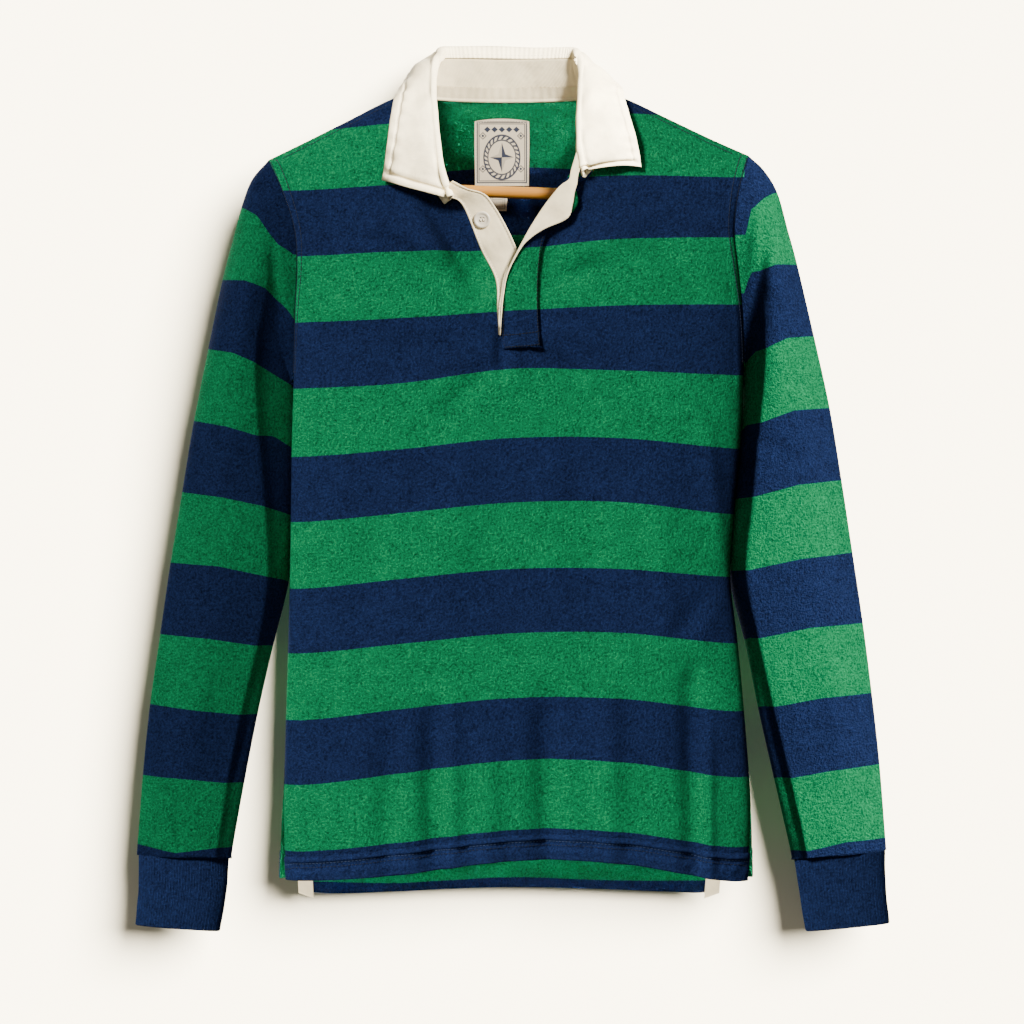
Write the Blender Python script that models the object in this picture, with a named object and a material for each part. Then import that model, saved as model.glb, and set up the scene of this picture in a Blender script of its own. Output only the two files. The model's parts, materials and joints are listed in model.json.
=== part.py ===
"""A long-sleeved striped polo shirt of the rugby kind, hung on a plain wooden hanger.

Metres, +Z up. The front of the shirt faces -Y, and left and right are the viewer's, facing it.
The origin is the middle of the hanger's round bar. Tables are in millimetres.
Every cloth piece is a thin wall: an outer surface worked out on a grid, and the same grid moved in.
"""

import math

import bmesh
import bpy
import numpy as np
from mathutils import Matrix, Vector

MM = 0.001

# ---- cloth ----------------------------------------------------------------------------------
JERSEY = 1.6          # wall of the heavy brushed jersey, mm
TWILL = 1.5           # wall of the collar and placket twill
RIB = 2.6             # wall of the ribbed cuffs, two layers
TAPE = 1.0            # wall of tapes and labels
SEAM_GAP = 0.4        # clear space where two pieces are sewn edge to edge
HALF_SEAM = SEAM_GAP / 2
LAID_ON = 0.5         # clear space under a piece that lies on another

# ---- body -----------------------------------------------------------------------------------
UNDERARM_LEVEL = 232  # how far down the cloth the armhole ends
BAND_LEVEL = 665      # top edge of the front hem band
BOTTOM_LEVEL = 687    # bottom edge of the front
SHOULDER_ROLL = 70.0  # distance below the shoulder line over which the body fills out
ARMHOLE_FRONT = 23.0  # how far the armhole bows to the front
ARMHOLE_BACK = 20.0   # and to the back
SIDE_ROUND = 3.5      # exponent of the section: higher is flatter in front and tighter at the sides

# Where the stripe edges of the front lie: height at five places across, for each level.
ACROSS = (-188, -98, 1, 100, 203)
LEVEL_HEIGHTS = (
    # level, side_left, mid_left, centre, mid_right, side_right
    (-60, 115, 121, 126, 129, 127),
    (0, 55, 61, 67, 70, 68),
    (60, 0, 5, 8, 13, 12),
    (120, -59, -55, -53, -44, -42),
    (180, -118, -115, -108.5, -103.5, -102),
    (240, -177, -173, -160, -161.5, -165),
    (300, -238.5, -232, -222, -222, -231),
    (360, -297, -289, -279.5, -279, -290),
    (420, -357, -348, -339, -339, -346.5),
    (480, -415, -406, -396.5, -396, -406),
    (540, -475, -464.5, -454.5, -455, -467),
    (600, -533, -522, -510, -511.5, -526),
    (660, -592.7, -584, -572.4, -574, -589),
    (687, -619.2, -613, -600.3, -602.6, -620),
)

# The body's outline and fullness: its two edges, and how far front and back swell from y = 0.
BODY = (
    # height, left, right, front, back, back_left, back_right
    (35, -219, 216, 28, 24, -219, 216),
    (0, -203, 206, 30, 24, -203, 206),
    (-35, -192, 201.6, 33, 25, -192, 201.6),
    (-70, -190, 205.5, 35, 26, -190, 205.5),
    (-105, -192, 209.5, 36, 26, -192, 209.5),
    (-150, -193.5, 211.5, 36, 26, -193.5, 211.5),
    (-215, -195.7, 209.5, 35, 25, -195.7, 209.5),
    (-290, -196.8, 203, 33, 24, -196.8, 203),
    (-345, -197.6, 199.5, 32, 23, -197.6, 199.5),
    (-405, -199, 206, 31, 22, -199, 206),
    (-470, -201, 212, 30, 22, -201, 212),
    (-535, -202.5, 216.5, 30, 22, -203, 217),
    (-568, -203, 217, 30, 22, -205, 218.5),
    (-625, -200, 214, 31, 22, -207, 219.5),
)

# The ridge of the shoulders, which runs on up over the open neck.
RIDGE = (
    # across, height
    (-219, 28), (-182, 46), (-148, 63), (-103, 85), (-73, 93), (-40, 135),
    (0, 160), (38, 135), (69, 94), (102, 85.5), (141, 67.5), (182, 48), (216, 33),
)

# The back's lower edge, a little longer than the front.
BACK_BOTTOM = (
    # across, height
    (-207, -622), (-175, -632), (-110, -632), (-30, -628.5), (20, -628),
    (75, -629.5), (150, -632), (180, -632), (219, -619),
)

# The largest folds of the front and back: a soft ridge (height > 0) or trough along a line.
FRONT_FOLDS = (
    # across_0, height_0, across_1, height_1, half_width, height
    (180, -215, 197, -350, 10, 5),
    (163, -400, 165, -625, 13, -6),
    (174, -500, 172, -625, 7, 5),
    (-69, -470, -69, -590, 14, -3),
    (32, -470, 34, -580, 14, -2.5),
    (-187, -440, -190, -600, 9, 2.5),
)
BACK_FOLDS = (
    (-120, -60, -150, -330, 20, -4),
    (125, -80, 160, -360, 20, -4),
    (-60, -430, -70, -630, 18, 4),
    (70, -400, 95, -630, 20, 4),
    (0, 40, 5, -220, 26, -3),
)

# ---- sleeves --------------------------------------------------------------------------------
# Sections from the armhole to the cuff seam. Each runs from its outer edge over the front to a
# crease, in to its inner edge, and round the back. crease is a fraction of the section's width.
SLEEVE_LEFT = (
    # outer, outer_height, inner, inner_height, crease, front, at_crease, tuck, back
    (-217, 29, -193, -169, 0.55, 22, 20, 4, 18),
    (-232, 11, -195.6, -171, 0.52, 24, 21, 5, 20),
    (-241, -13.5, -194.6, -174, 0.50, 25, 22, 8, 22),
    (-248, -40, -193.4, -178, 0.50, 26, 22, 10, 23),
    (-258, -79, -192.5, -184, 0.50, 27, 22, 11, 24),
    (-271, -141, -192, -196, 0.56, 27, 21, 12, 24),
    (-284, -206, -191.5, -242, 0.66, 27, 20, 13, 24),
    (-294.6, -270, -192.5, -297, 0.75, 26, 18, 13, 23),
    (-305, -333.5, -199.5, -352, 0.84, 25, 15, 11, 21),
    (-314.4, -398, -213.5, -408, 0.88, 23, 13, 5, 18),
    (-323.5, -461, -227, -470, 0.86, 22, 12, 1, 16),
    (-330, -525, -238.5, -530, 0.85, 20, 12, 0, 14),
    (-334.8, -587, -249, -589, 0.85, 17, 12, 0, 13),
    (-335.3, -597, -250, -600, 0.85, 16, 12, 0, 12.5),
)
SLEEVE_RIGHT = (
    (216, 32, 211, -158, 0.55, 22, 20, 4, 18),
    (230, 19, 212.4, -160, 0.54, 24, 21, 5, 20),
    (242, -1, 211.4, -163, 0.54, 25, 22, 8, 22),
    (251, -33, 209.6, -167, 0.56, 26, 22, 10, 23),
    (260, -66, 208, -173, 0.60, 27, 22, 11, 24),
    (275, -130, 208, -186, 0.70, 27, 21, 12, 24),
    (289, -194, 205.5, -230, 0.79, 27, 20, 13, 24),
    (299.7, -259, 200, -286, 0.82, 26, 18, 13, 23),
    (309.6, -324.5, 199.5, -345, 0.88, 25, 15, 12, 21),
    (319, -388, 213, -402, 0.90, 23, 13, 5, 18),
    (327, -451, 225, -463.5, 0.88, 22, 12, 1, 16),
    (334, -515, 239, -527, 0.86, 20, 12, 0, 14),
    (339.3, -582, 253.5, -591, 0.85, 17, 12, 0, 13),
    (340.2, -592.5, 254.7, -601, 0.85, 16, 12, 0, 12.5),
)
# Where the six named points of a section stand, as fractions of the way round it.
ROUND_THE_SLEEVE = (0.0, 0.15, 0.35, 0.5, 0.66, 0.84)
SLEEVE_STEPS = 20

CUFF_LEFT = (
    # outer, outer_height, inner, inner_height, front, back
    (-333.4, -597.1, -252.6, -599.9, 14, 12),
    (-333.6, -628, -255, -632, 13.5, 11.5),
    (-336.6, -660, -260.6, -665.5, 13.5, 11.5),
)
CUFF_RIGHT = (
    (338.6, -592.9, 257.4, -600.9, 14, 12),
    (339.4, -626, 262, -632, 13.5, 11.5),
    (342.6, -658.5, 267.4, -665.5, 13.5, 11.5),
)
CUFF_SIDES = 24

# ---- collar ---------------------------------------------------------------------------------
# Stations round the neck from the left front end to the right one. base is the neck seam, whose
# depth follows the body; fold is the roll line; edge is the free edge of the turned-down leaf;
# arch is how far the leaf bows out between them, as a share of its length.
COLLAR = (
    # base_x, base_z, fold_x, fold_y, fold_z, edge_x, edge_y, edge_z, arch
    (-57, -12, -52, -39, -6, -113.4, -33, 8.5, 0.20),
    (-66, 2, -58.5, -40, 13.5, -111, -34, 27, 0.15),
    (-73, 27, -62, -35, 40, -108.2, -33, 48, 0.10),
    (-76, 52, -65, -25, 66, -105.4, -26, 68, 0.12),
    (-77, 74, -67, -13, 88, -102.5, -13, 84, 0.16),
    (-75, 90, -66, 3, 110, -97, 6, 94, 0.22),
    (-68, 92, -62, 14, 125, -92, 24, 92, 0.20),
    (-50, 91, -54, 25, 130, -70, 34, 78, 0.16),
    (0, 90, 0, 31, 130.5, 0, 38, 70, 0.16),
    (48, 91, 52, 25, 130, 70, 34, 79, 0.14),
    (64, 92, 61, 14, 125.5, 95, 24, 91, 0.10),
    (71, 90, 63, 3, 111, 101, 6, 92, 0.14),
    (74, 74, 62, -13, 88, 104, -13, 83, 0.16),
    (75, 52, 60.8, -25, 66, 108, -26, 67, 0.12),
    (76, 33, 60.8, -35, 44, 113, -33, 49, 0.10),
    (74, 19, 63.5, -39, 26, 116.5, -34, 33, 0.10),
    (68, 11, 68, -39, 17.5, 118.2, -34, 20, 0.10),
)
FRONT_STATIONS = 6    # how many rows at each end of the table lie on the front
ROLL = 3.0            # outer radius of the leaf's fold
INSIDE_LEAF = 8.0     # how far the leaf reaches down inside, to its seam on the stand
COLLAR_STEPS = 29
LEAF_SHARES = (0.25, 0.5, 0.75, 1.0)   # rows of the leaf below its roll, as shares of its length
LEAF_TURN = 5         # the row where the leaf leaves its roll
NECK_CLEAR = 2.1      # how far outside the neck seam's line the front is cut: the stand's wall
LEAF_CLEAR = 2.6      # least height of the leaf's outer face above the cloth below it

NECK_TAPE_EDGES = np.array([89.3, 80.0])   # its top and bottom
NECK_TAPE_ENDS = (-58.0, 57.0)             # how far it reaches across

# ---- placket --------------------------------------------------------------------------------
# Each row runs across a strip from its left edge to its right one; lift is in front of the body.
UNDER_PLACKET = (
    # left_x, left_z, right_x, right_z, left_lift, right_lift
    (-46.5, -5, -21, -4, 4.2, 1.5),
    (-41, -15, -11.5, -16, 3.4, -1.5),
    (-34.5, -30, -2.5, -31.5, 2.6, -2.4),
    (-26, -52.5, 7.8, -54, 2.2, -2.4),
    (-12.6, -80, 16, -80, 2.2, 0.8),
    (-10.8, -109, 19, -109, 2.2, 0.8),
    (-9.2, -130, 21, -130.5, 2.2, 0.8),
)
OVER_PLACKET = (
    (-7.7, -138, 28.6, -139, 4.2, 2.6),
    (-6.7, -114, 26.6, -113, 4.4, 2.6),
    (-5, -95, 26.1, -96, 4.4, 2.6),
    (-1, -75, 26.6, -75, 4.6, 2.6),
    (7.8, -54.9, 30, -52, 5.2, 2.8),
    (20, -33, 37, -33, 6.2, 3.2),
    (32.5, -14, 47, -14, 7.4, 3.4),
    (45, 0.5, 58, 3, 8.2, 3.6),
    (54, 13, 66, 15, 8.2, 3.8),
)
FACING = (
    # roll_x, roll_z, free_x, free_z, roll_lift, free_lift
    (9, -53, 13, -51, 6.9, 6.7),
    (12.4, -45, 19.5, -44, 8.6, 7.6),
    (19.8, -32, 32.5, -35.4, 9.8, 7.8),
    (32.4, -13, 52.5, -26, 11.2, 7.8),
    (44.5, 2, 57.2, -13, 12, 8.2),
    (53, 8.5, 58.8, -3, 12, 8.6),
    (54.6, 14.5, 61, 4.5, 12, 8.6),
    (56, 20, 62.5, 14, 11.5, 8.8),
)
# The opening cut in the front: the left neckline, the slit, and the right neckline.
SLIT = (
    # across, height
    (-48, -14), (-30, -52), (-6, -86), (-3, -112), (-2, -131), (24, -132),
    (22, -100), (22.6, -74), (27.5, -46), (33, -32), (46, -11), (62, 7),
)

BUTTON_AT = (-23.9, -26.5)
BUTTON_RADIUS = 7.7
BUTTON_THICK = 2.4
BUTTON_HOLES = 4
BUTTON_HOLE_RADIUS = 0.9
BUTTON_HOLE_RING = 1.9

# left, right, bottom, top, on the inside of the back
MAIN_LABEL = (-31, 18, 5.8, 65.2)
SIZE_LABEL = (-19, -1.8, -16.2, 3.0)

# Tapes behind the side vents, inside the back, hanging out below its hem.
VENT_TAPES = {
    # top_left, low_left, width, top, bottom, slant
    "vent_tape_left": (-194, -190, 13.5, -560, -634.5, -2.5),
    "vent_tape_right": (183, 176.5, 13.5, -552, -635, 2.5),
}

# ---- hanger ---------------------------------------------------------------------------------
BAR_RADIUS = 5.4
BAR_HALF = 188.1
BAR_TILT = math.radians(1.8)
ARM_RADIUS = 6.5
ARM_SIDES = 10
ARM_ROUTE = (
    # across, height: up from the bar beside the neck, out under the shoulder, down past the bar
    (82, 5.9), (82, 28), (83, 52), (92, 66), (112, 64), (140, 50.5), (170, 36.5), (188, 26),
    (194.5, 12), (195, -4), (195, -11),
)

COLOURS = {
    # name: (red, green, blue, roughness)
    "striped_jersey": (0.025, 0.27, 0.10, 0.9),
    "navy_jersey": (0.012, 0.028, 0.095, 0.9),
    "cream_twill": (0.84, 0.80, 0.71, 0.8),
    "label_cloth": (0.74, 0.70, 0.60, 0.8),
    "button_shell": (0.72, 0.66, 0.54, 0.35),
    "light_wood": (0.72, 0.46, 0.22, 0.45),
}


# ---- curves and surfaces --------------------------------------------------------------------
def smooth(places, values, at):
    """A cubic through the given values, with straight ends beyond the first and last place."""
    places = np.asarray(places, float)
    values = np.asarray(values, float)
    chords = np.diff(values) / np.diff(places)
    slopes = np.concatenate([chords[:1], (chords[:-1] + chords[1:]) / 2, chords[-1:]])
    held = np.clip(at, places[0], places[-1])
    i = np.clip(np.searchsorted(places, held, side="right") - 1, 0, len(places) - 2)
    step = places[i + 1] - places[i]
    t = (held - places[i]) / step
    value = (
        values[i] * (1 + 2 * t) * (1 - t) ** 2
        + values[i + 1] * t * t * (3 - 2 * t)
        + slopes[i] * step * t * (1 - t) ** 2
        + slopes[i + 1] * step * t * t * (t - 1)
    )
    return value + np.where(at < held, slopes[0], slopes[-1]) * (at - held)


def falling(table, column, at):
    """A column of a table whose first column falls from row to row."""
    rows = np.array(table, float)[::-1]
    return smooth(rows[:, 0], rows[:, column], at)


def rising(table, column, at):
    rows = np.array(table, float)
    return smooth(rows[:, 0], rows[:, column], at)


def level_height(level, x):
    """Height of a level of the front at x: down each of the five columns, then across them."""
    columns = np.stack([rising(LEVEL_HEIGHTS, 1 + k, level) for k in range(5)])
    q = np.interp(x, ACROSS, np.arange(5.0))
    i = np.clip(q.astype(int), 0, 3)
    t = q - i
    spot = np.indices(q.shape)
    pick = lambda k: columns[(np.clip(k, 0, 4), *spot)]
    a, b, c, d = pick(i - 1), pick(i), pick(i + 1), pick(i + 2)
    return b + t * (c - a) / 2 + t * t * (a - 2.5 * b + 2 * c - d / 2) + t ** 3 * (
        1.5 * (b - c) + (d - a) / 2
    )


def teardrop(height, top, bottom):
    """How far an armhole bows at this height: 0 at its top, 1 near a third of the way down, and a
    long taper to 0 at the underarm, where an empty shirt falls flat."""
    share = np.clip((top - height) / (top - bottom), 0, 1)
    return share ** 0.45 * (1 - share) / 0.407


def folds(table, x, z):
    """Sum of soft ridges and troughs, each fading sideways and towards both its ends."""
    total = np.zeros_like(x)
    for x0, z0, x1, z1, half_width, height in table:
        length = math.hypot(x1 - x0, z1 - z0)
        along = ((x - x0) * (x1 - x0) + (z - z0) * (z1 - z0)) / length ** 2
        aside = ((x - x0) * (z1 - z0) - (z - z0) * (x1 - x0)) / length
        fade = np.clip(1.0 - np.abs(2 * along - 1) ** 3, 0, 1)
        total += height * fade * np.exp(-((aside / half_width) ** 2))
    return total


def body_edges(z, back):
    first = 5 if back else 1
    return falling(BODY, first, z), falling(BODY, first + 1, z)


def body_depth(x, z, back):
    """How far the front or back stands from y = 0, without its sign."""
    left, right = body_edges(z, back)
    s = np.clip((2 * x - left - right) / (right - left), -1, 1)
    below = np.clip((rising(RIDGE, 1, x) - z) / SHOULDER_ROLL, 0, 1)
    crown = (1 - (1 - below) ** 2) ** 0.6
    side = np.where(x < 0, 0, 1)
    top = np.where(side == 0, ARM_TOPS[0], ARM_TOPS[1])
    bottom = np.where(side == 0, ARM_BOTTOMS[0], ARM_BOTTOMS[1])
    edge = teardrop(z, top, bottom) * (ARMHOLE_BACK if back else ARMHOLE_FRONT)
    fullness = (1 - np.abs(s) ** SIDE_ROUND) ** 0.5
    swell = falling(BODY, 4 if back else 3, z) * crown
    swell = swell + folds(BACK_FOLDS if back else FRONT_FOLDS, x, z) * fullness * crown
    return HALF_SEAM + edge + np.maximum(swell - edge, 0) * fullness


def front_depth(x, z):
    return -body_depth(np.asarray(x, float), np.asarray(z, float), False)


def back_depth(x, z):
    return body_depth(np.asarray(x, float), np.asarray(z, float), True)


def normals(points, closed):
    """Unit normals of a grid from the differences of its neighbours, either way."""
    if closed:
        along = np.roll(points, -1, 1) - np.roll(points, 1, 1)
    else:
        along = np.gradient(points, axis=1)
    normal = np.cross(along, np.gradient(points, axis=0))
    return normal / np.linalg.norm(normal, axis=2, keepdims=True)


def held(direction, weights):
    """Directions with their x, y, z parts weighted, made unit length again."""
    direction = direction * weights
    return direction / np.linalg.norm(direction, axis=-1, keepdims=True)


def wall(name, outer, inner, colour, closed=False):
    """One closed solid between two grids of points, rows down and columns across."""
    rows, columns = outer.shape[:2]
    spare = rows * columns
    index = np.arange(spare).reshape(rows, columns)
    if closed:
        index = np.concatenate([index, index[:, :1]], axis=1)
    a, b, c, d = index[:-1, :-1], index[:-1, 1:], index[1:, 1:], index[1:, :-1]
    front = np.concatenate([np.stack([a, b, c], -1).reshape(-1, 3), np.stack([a, c, d], -1).reshape(-1, 3)])
    edges = [index[0], index[-1][::-1]]
    if not closed:
        edges += [index[:, -1], index[::-1, 0]]
    sides = []
    for edge in edges:
        p, q = edge[:-1], edge[1:]
        sides += [np.stack([p, p + spare, q], -1), np.stack([q, p + spare, q + spare], -1)]
    faces = np.concatenate([front, front[:, ::-1] + spare, *sides])
    points = np.concatenate([outer.reshape(-1, 3), inner.reshape(-1, 3)]) * MM
    return solid(name, points, faces, colour)


def solid(name, points, faces, colour):
    mesh = bpy.data.meshes.new(name)
    mesh.from_pydata(points.tolist(), [], faces.tolist())
    work = bmesh.new()
    work.from_mesh(mesh)
    bmesh.ops.recalc_face_normals(work, faces=work.faces)
    if work.calc_volume(signed=True) < 0:
        bmesh.ops.reverse_faces(work, faces=work.faces)
    work.to_mesh(mesh)
    work.free()
    mesh.shade_smooth()
    mesh.set_sharp_from_angle(angle=math.radians(40))
    thing = bpy.data.objects.new(name, mesh)
    bpy.context.scene.collection.objects.link(thing)
    thing.data.materials.append(material(colour))
    return thing


def material(name):
    if name in bpy.data.materials:
        return bpy.data.materials[name]
    red, green, blue, roughness = COLOURS[name]
    made = bpy.data.materials.new(name)
    made.use_nodes = True
    shader = made.node_tree.nodes["Principled BSDF"]
    shader.inputs["Base Color"].default_value = (red, green, blue, 1)
    shader.inputs["Roughness"].default_value = roughness
    shader.inputs["Metallic"].default_value = 0.0
    return made


def clear_scene():
    for thing in list(bpy.data.objects):
        bpy.data.objects.remove(thing, do_unlink=True)


# ---- body panels ----------------------------------------------------------------------------
def panel_grid(top, knee, bottom, steps_above, stops_below, across, back):
    """Points of a body panel: rows go from its top edge to the underarm row, then to its bottom.

    top, knee and bottom give a height for each x; across runs from -1 to 1, edge to edge.
    """
    even = np.arange(steps_above + 1) / steps_above
    above = (even + (1 - np.cos(np.pi * even)) / 2) / 2
    rows = []
    for share in above:
        rows.append(lambda x, share=share: top(x) + (knee(x) - top(x)) * share)
    for share in stops_below:
        rows.append(lambda x, share=share: knee(x) + (bottom(x) - knee(x)) * share)
    grid = np.zeros((len(rows), len(across), 3))
    for i, height in enumerate(rows):
        x = across * 200.0
        for _ in range(12):
            z = height(x)
            left, right = body_edges(z, back)
            x = (left + right) / 2 + across * (right - left) / 2
        grid[i, :, 0], grid[i, :, 2] = x, z
    depth = back_depth if back else front_depth
    grid[:, :, 1] = depth(grid[:, :, 0], grid[:, :, 2])
    return grid


def shoulder_line(x):
    return np.minimum(rising(RIDGE, 1, x), 95.0)


def back_top(x):
    """The shoulder seams and, between them, the back neck seam."""
    return np.minimum(rising(RIDGE, 1, x), np.maximum(90.0, np.abs(x) - 71 + 90.0)) - 0.6 * (np.abs(x) < 72)


def knee_line(x):
    return level_height(np.full_like(x, UNDERARM_LEVEL), x)


def level_line(level):
    return lambda x: level_height(np.full_like(x, level), x)


def armhole_ends():
    """Height of each armhole's top and bottom, on the body's left and right edges."""
    tops, bottoms = [], []
    for side in (0, 1):
        x = np.array([-200.0, 200.0])[side:side + 1]
        for target, found in ((shoulder_line, tops), (knee_line, bottoms)):
            spot = x.copy()
            for _ in range(20):
                z = target(spot)
                spot = body_edges(z, False)[side]
            found.append(float(z[0]))
    return tops, bottoms


def seam_held(grid, direction, knee_row):
    """Keeps the inner face of a panel from crossing its seams: at each edge the wall's thickness
    runs along the seam's own plane, x = constant at the armholes and y = constant elsewhere."""
    direction = direction.copy()
    direction[0] = held(direction[0], (1, 0, 1))
    for column in (0, -1):
        above = direction[1:knee_row, column]
        direction[1:knee_row, column] = held(above, (0, 1, 1))
        direction[knee_row:, column] = held(direction[knee_row:, column], (1, 0, 1))
    direction[0, 0] = direction[0, -1] = direction[knee_row, 0] * 0 + (0, 0, 1)
    direction[knee_row, 0], direction[knee_row, -1] = (-1, 0, 0), (1, 0, 0)
    return direction


ROWS_ABOVE = 9
HALF_ACROSS = np.array([0.09, 0.18, 0.27, 0.36, 0.47, 0.59, 0.71, 0.82, 0.905, 0.96, 0.988, 1.0])
PANEL_ACROSS = np.concatenate([-HALF_ACROSS[::-1], [0.0], HALF_ACROSS])


def front_grid():
    bottom = level_line(BOTTOM_LEVEL)
    levels = (270, 310, 352, 394, 436, 478, 520, 562, 602, 638, BAND_LEVEL, 678, BOTTOM_LEVEL)
    grid = panel_grid(shoulder_line, knee_line, bottom, ROWS_ABOVE, [], PANEL_ACROSS, False)
    lower = [grid]
    for level in levels:
        lower.append(panel_grid(shoulder_line, level_line(level), bottom, 1, [], PANEL_ACROSS, False)[1:])
    return np.concatenate(lower)


def back_grid():
    stops = (0.09, 0.19, 0.29, 0.39, 0.49, 0.59, 0.69, 0.79, 0.88, 0.943, 0.98, 1.0)
    bottom = lambda x: rising(BACK_BOTTOM, 1, x)
    return panel_grid(back_top, knee_line, bottom, ROWS_ABOVE, stops, PANEL_ACROSS, True)


def cutter(name, outline, near, far):
    """A prism along y over an outline in x and z."""
    count = len(outline)
    points = np.array([(x, y, z) for y in (near, far) for x, z in outline], float) * MM
    faces = [list(range(count))[::-1], list(range(count, 2 * count))]
    faces += [[i, (i + 1) % count, (i + 1) % count + count, i + count] for i in range(count)]
    mesh = bpy.data.meshes.new(name)
    mesh.from_pydata(points.tolist(), [], faces)
    work = bmesh.new()
    work.from_mesh(mesh)
    bmesh.ops.triangulate(work, faces=work.faces)
    bmesh.ops.recalc_face_normals(work, faces=work.faces)
    work.to_mesh(mesh)
    work.free()
    thing = bpy.data.objects.new(name, mesh)
    bpy.context.scene.collection.objects.link(thing)
    thing.hide_render = True
    thing.display_type = "WIRE"
    return thing


def cut(thing, tool):
    change = thing.modifiers.new("opening", "BOOLEAN")
    change.object = tool
    change.operation = "DIFFERENCE"
    change.solver = "EXACT"


def neck_outline():
    """The opening of the front: outside the collar's neck seam, and round the placket slit."""
    rows = np.array(COLLAR, float)
    left = [(x - NECK_CLEAR, z - NECK_CLEAR / 2) for x, z in rows[0:FRONT_STATIONS, 0:2][::-1]]
    right = [(x + NECK_CLEAR, z - NECK_CLEAR / 2) for x, z in rows[-FRONT_STATIONS:, 0:2][::-1]]
    return [(-74, 120), *left, *SLIT, *right, (70.5, 120)]


def make_front():
    grid = front_grid()
    panel = grid[:-1]
    direction = seam_held(panel, -normals(panel, False), ROWS_ABOVE)
    thing = wall("front_panel", panel, panel - direction * JERSEY, "striped_jersey")
    cut(thing, cutter("neck_opening", neck_outline(), -80, 20))
    return grid


def make_back():
    grid = back_grid()
    panel = grid[:-1]
    direction = seam_held(panel, normals(panel, False), ROWS_ABOVE)
    wall("back_panel", panel, panel - direction * JERSEY, "striped_jersey")
    return grid


def make_hem_band(name, grid, rows, facing):
    """A band laid on the outside of a panel: the panel's own rows, moved out."""
    direction = facing * normals(grid, False)
    for column in (0, -1):
        direction[:, column] = held(direction[:, column], (1, 0, 1))
    band = slice(rows, None)
    inner = grid[band] + direction[band] * LAID_ON
    outer = grid[band] + direction[band] * (LAID_ON + JERSEY)
    wall(name, outer, inner, "navy_jersey")


# ---- sleeves and cuffs ----------------------------------------------------------------------
def round_section(points, at):
    """Periodic cubic through a section's six named points, at fractions of the way round."""
    spots = np.array(ROUND_THE_SLEEVE)
    spots = np.concatenate([spots[-3:] - 1, spots, spots[:3] + 1])
    points = np.concatenate([points[-3:], points, points[:3]])
    return np.stack([smooth(spots, points[:, k], at) for k in range(3)], -1)


def section_points(row):
    """The six named points of a sleeve section: outer edge, front, crease, inner edge, back, back."""
    outer, outer_z, inner, inner_z, crease, front, at_crease, tuck, back = row
    spot = lambda share, y: (outer + (inner - outer) * share, y, outer_z + (inner_z - outer_z) * share)
    return np.array([
        spot(0, 0), spot(crease * 0.42, -front), spot(crease, -at_crease),
        spot(1, tuck), spot(0.66, back), spot(0.3, back),
    ])


def sleeve_grid(table, armhole):
    """Rings from the armhole to the cuff seam. The first is the armhole itself, and its difference
    from the table's section fades out over the next rings."""
    rows = np.array(table, float)
    top, bottom = armhole[:, 2].max(), armhole[:, 2].min()
    share = np.arccos(np.clip(1 - 2 * (top - armhole[:, 2]) / (top - bottom), -1, 1)) / math.pi / 2
    back = armhole[:, 1] > 0
    around = np.where(back, 1 - share, share)
    around[0] = 0.0
    stations = np.linspace(0, len(rows) - 1, SLEEVE_STEPS)
    grid = np.zeros((SLEEVE_STEPS, len(around), 3))
    for i, station in enumerate(stations):
        row = [smooth(np.arange(len(rows)), rows[:, k], np.array(station)) for k in range(rows.shape[1])]
        grid[i] = round_section(section_points(row), around)
    fade = np.clip(1 - stations / 3.2, 0, 1) ** 1.5
    return grid + (armhole - grid[0]) * fade[:, None, None]


def armhole_ring(front, back, column):
    """The panels' own edge points round one armhole, from the shoulder down the front and back up."""
    down = front[:ROWS_ABOVE + 1, column]
    up = back[1:ROWS_ABOVE, column][::-1]
    ring = np.concatenate([down, up])
    ring[0, 1] = ring[ROWS_ABOVE, 1] = 0
    aside = -SEAM_GAP if column == 0 else SEAM_GAP
    return ring + (aside, 0, 0)


def make_sleeve(name, table, ring):
    grid = sleeve_grid(table, ring)
    direction = normals(grid, True)
    middle = grid.mean(axis=1, keepdims=True)
    if ((grid - middle) * direction).sum() < 0:
        direction = -direction
    direction[0] = held(direction[0], (0, 1, 1))
    direction[-1] = held(direction[-1], (1, 1, 0))
    wall(name, grid, grid - direction * JERSEY, "striped_jersey", closed=True)
    return grid


def cuff_ring(row, sides, inward):
    """A flattened oval between its outer and inner edge, moved in by the wall's thickness."""
    outer, outer_z, inner, inner_z, front, back = row
    angle = np.arange(sides) * 2 * math.pi / sides
    way = np.sign(inner - outer)
    outer, inner, front, back = outer + way * inward, inner - way * inward, front - inward, back - inward
    share = (1 - np.cos(angle)) / 2
    depth = np.abs(np.sin(angle)) ** 0.75
    y = np.where(np.sin(angle) > 0, -front, back) * depth
    return np.stack([outer + (inner - outer) * share, y, outer_z + (inner_z - outer_z) * share], -1)


def make_cuff(name, table):
    rows = np.array(table, float)
    spots = np.linspace(0, len(rows) - 1, 4)
    drawn = [[smooth(np.arange(len(rows)), rows[:, k], np.array(t)) for k in range(6)] for t in spots]
    outer = np.array([cuff_ring(row, CUFF_SIDES, 0) for row in drawn])
    inner = np.array([cuff_ring(row, CUFF_SIDES, RIB) for row in drawn])
    outer[0, :, 2] -= SEAM_GAP
    inner[0, :, 2] -= SEAM_GAP
    wall(name, outer, inner, "navy_jersey", closed=True)


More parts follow.
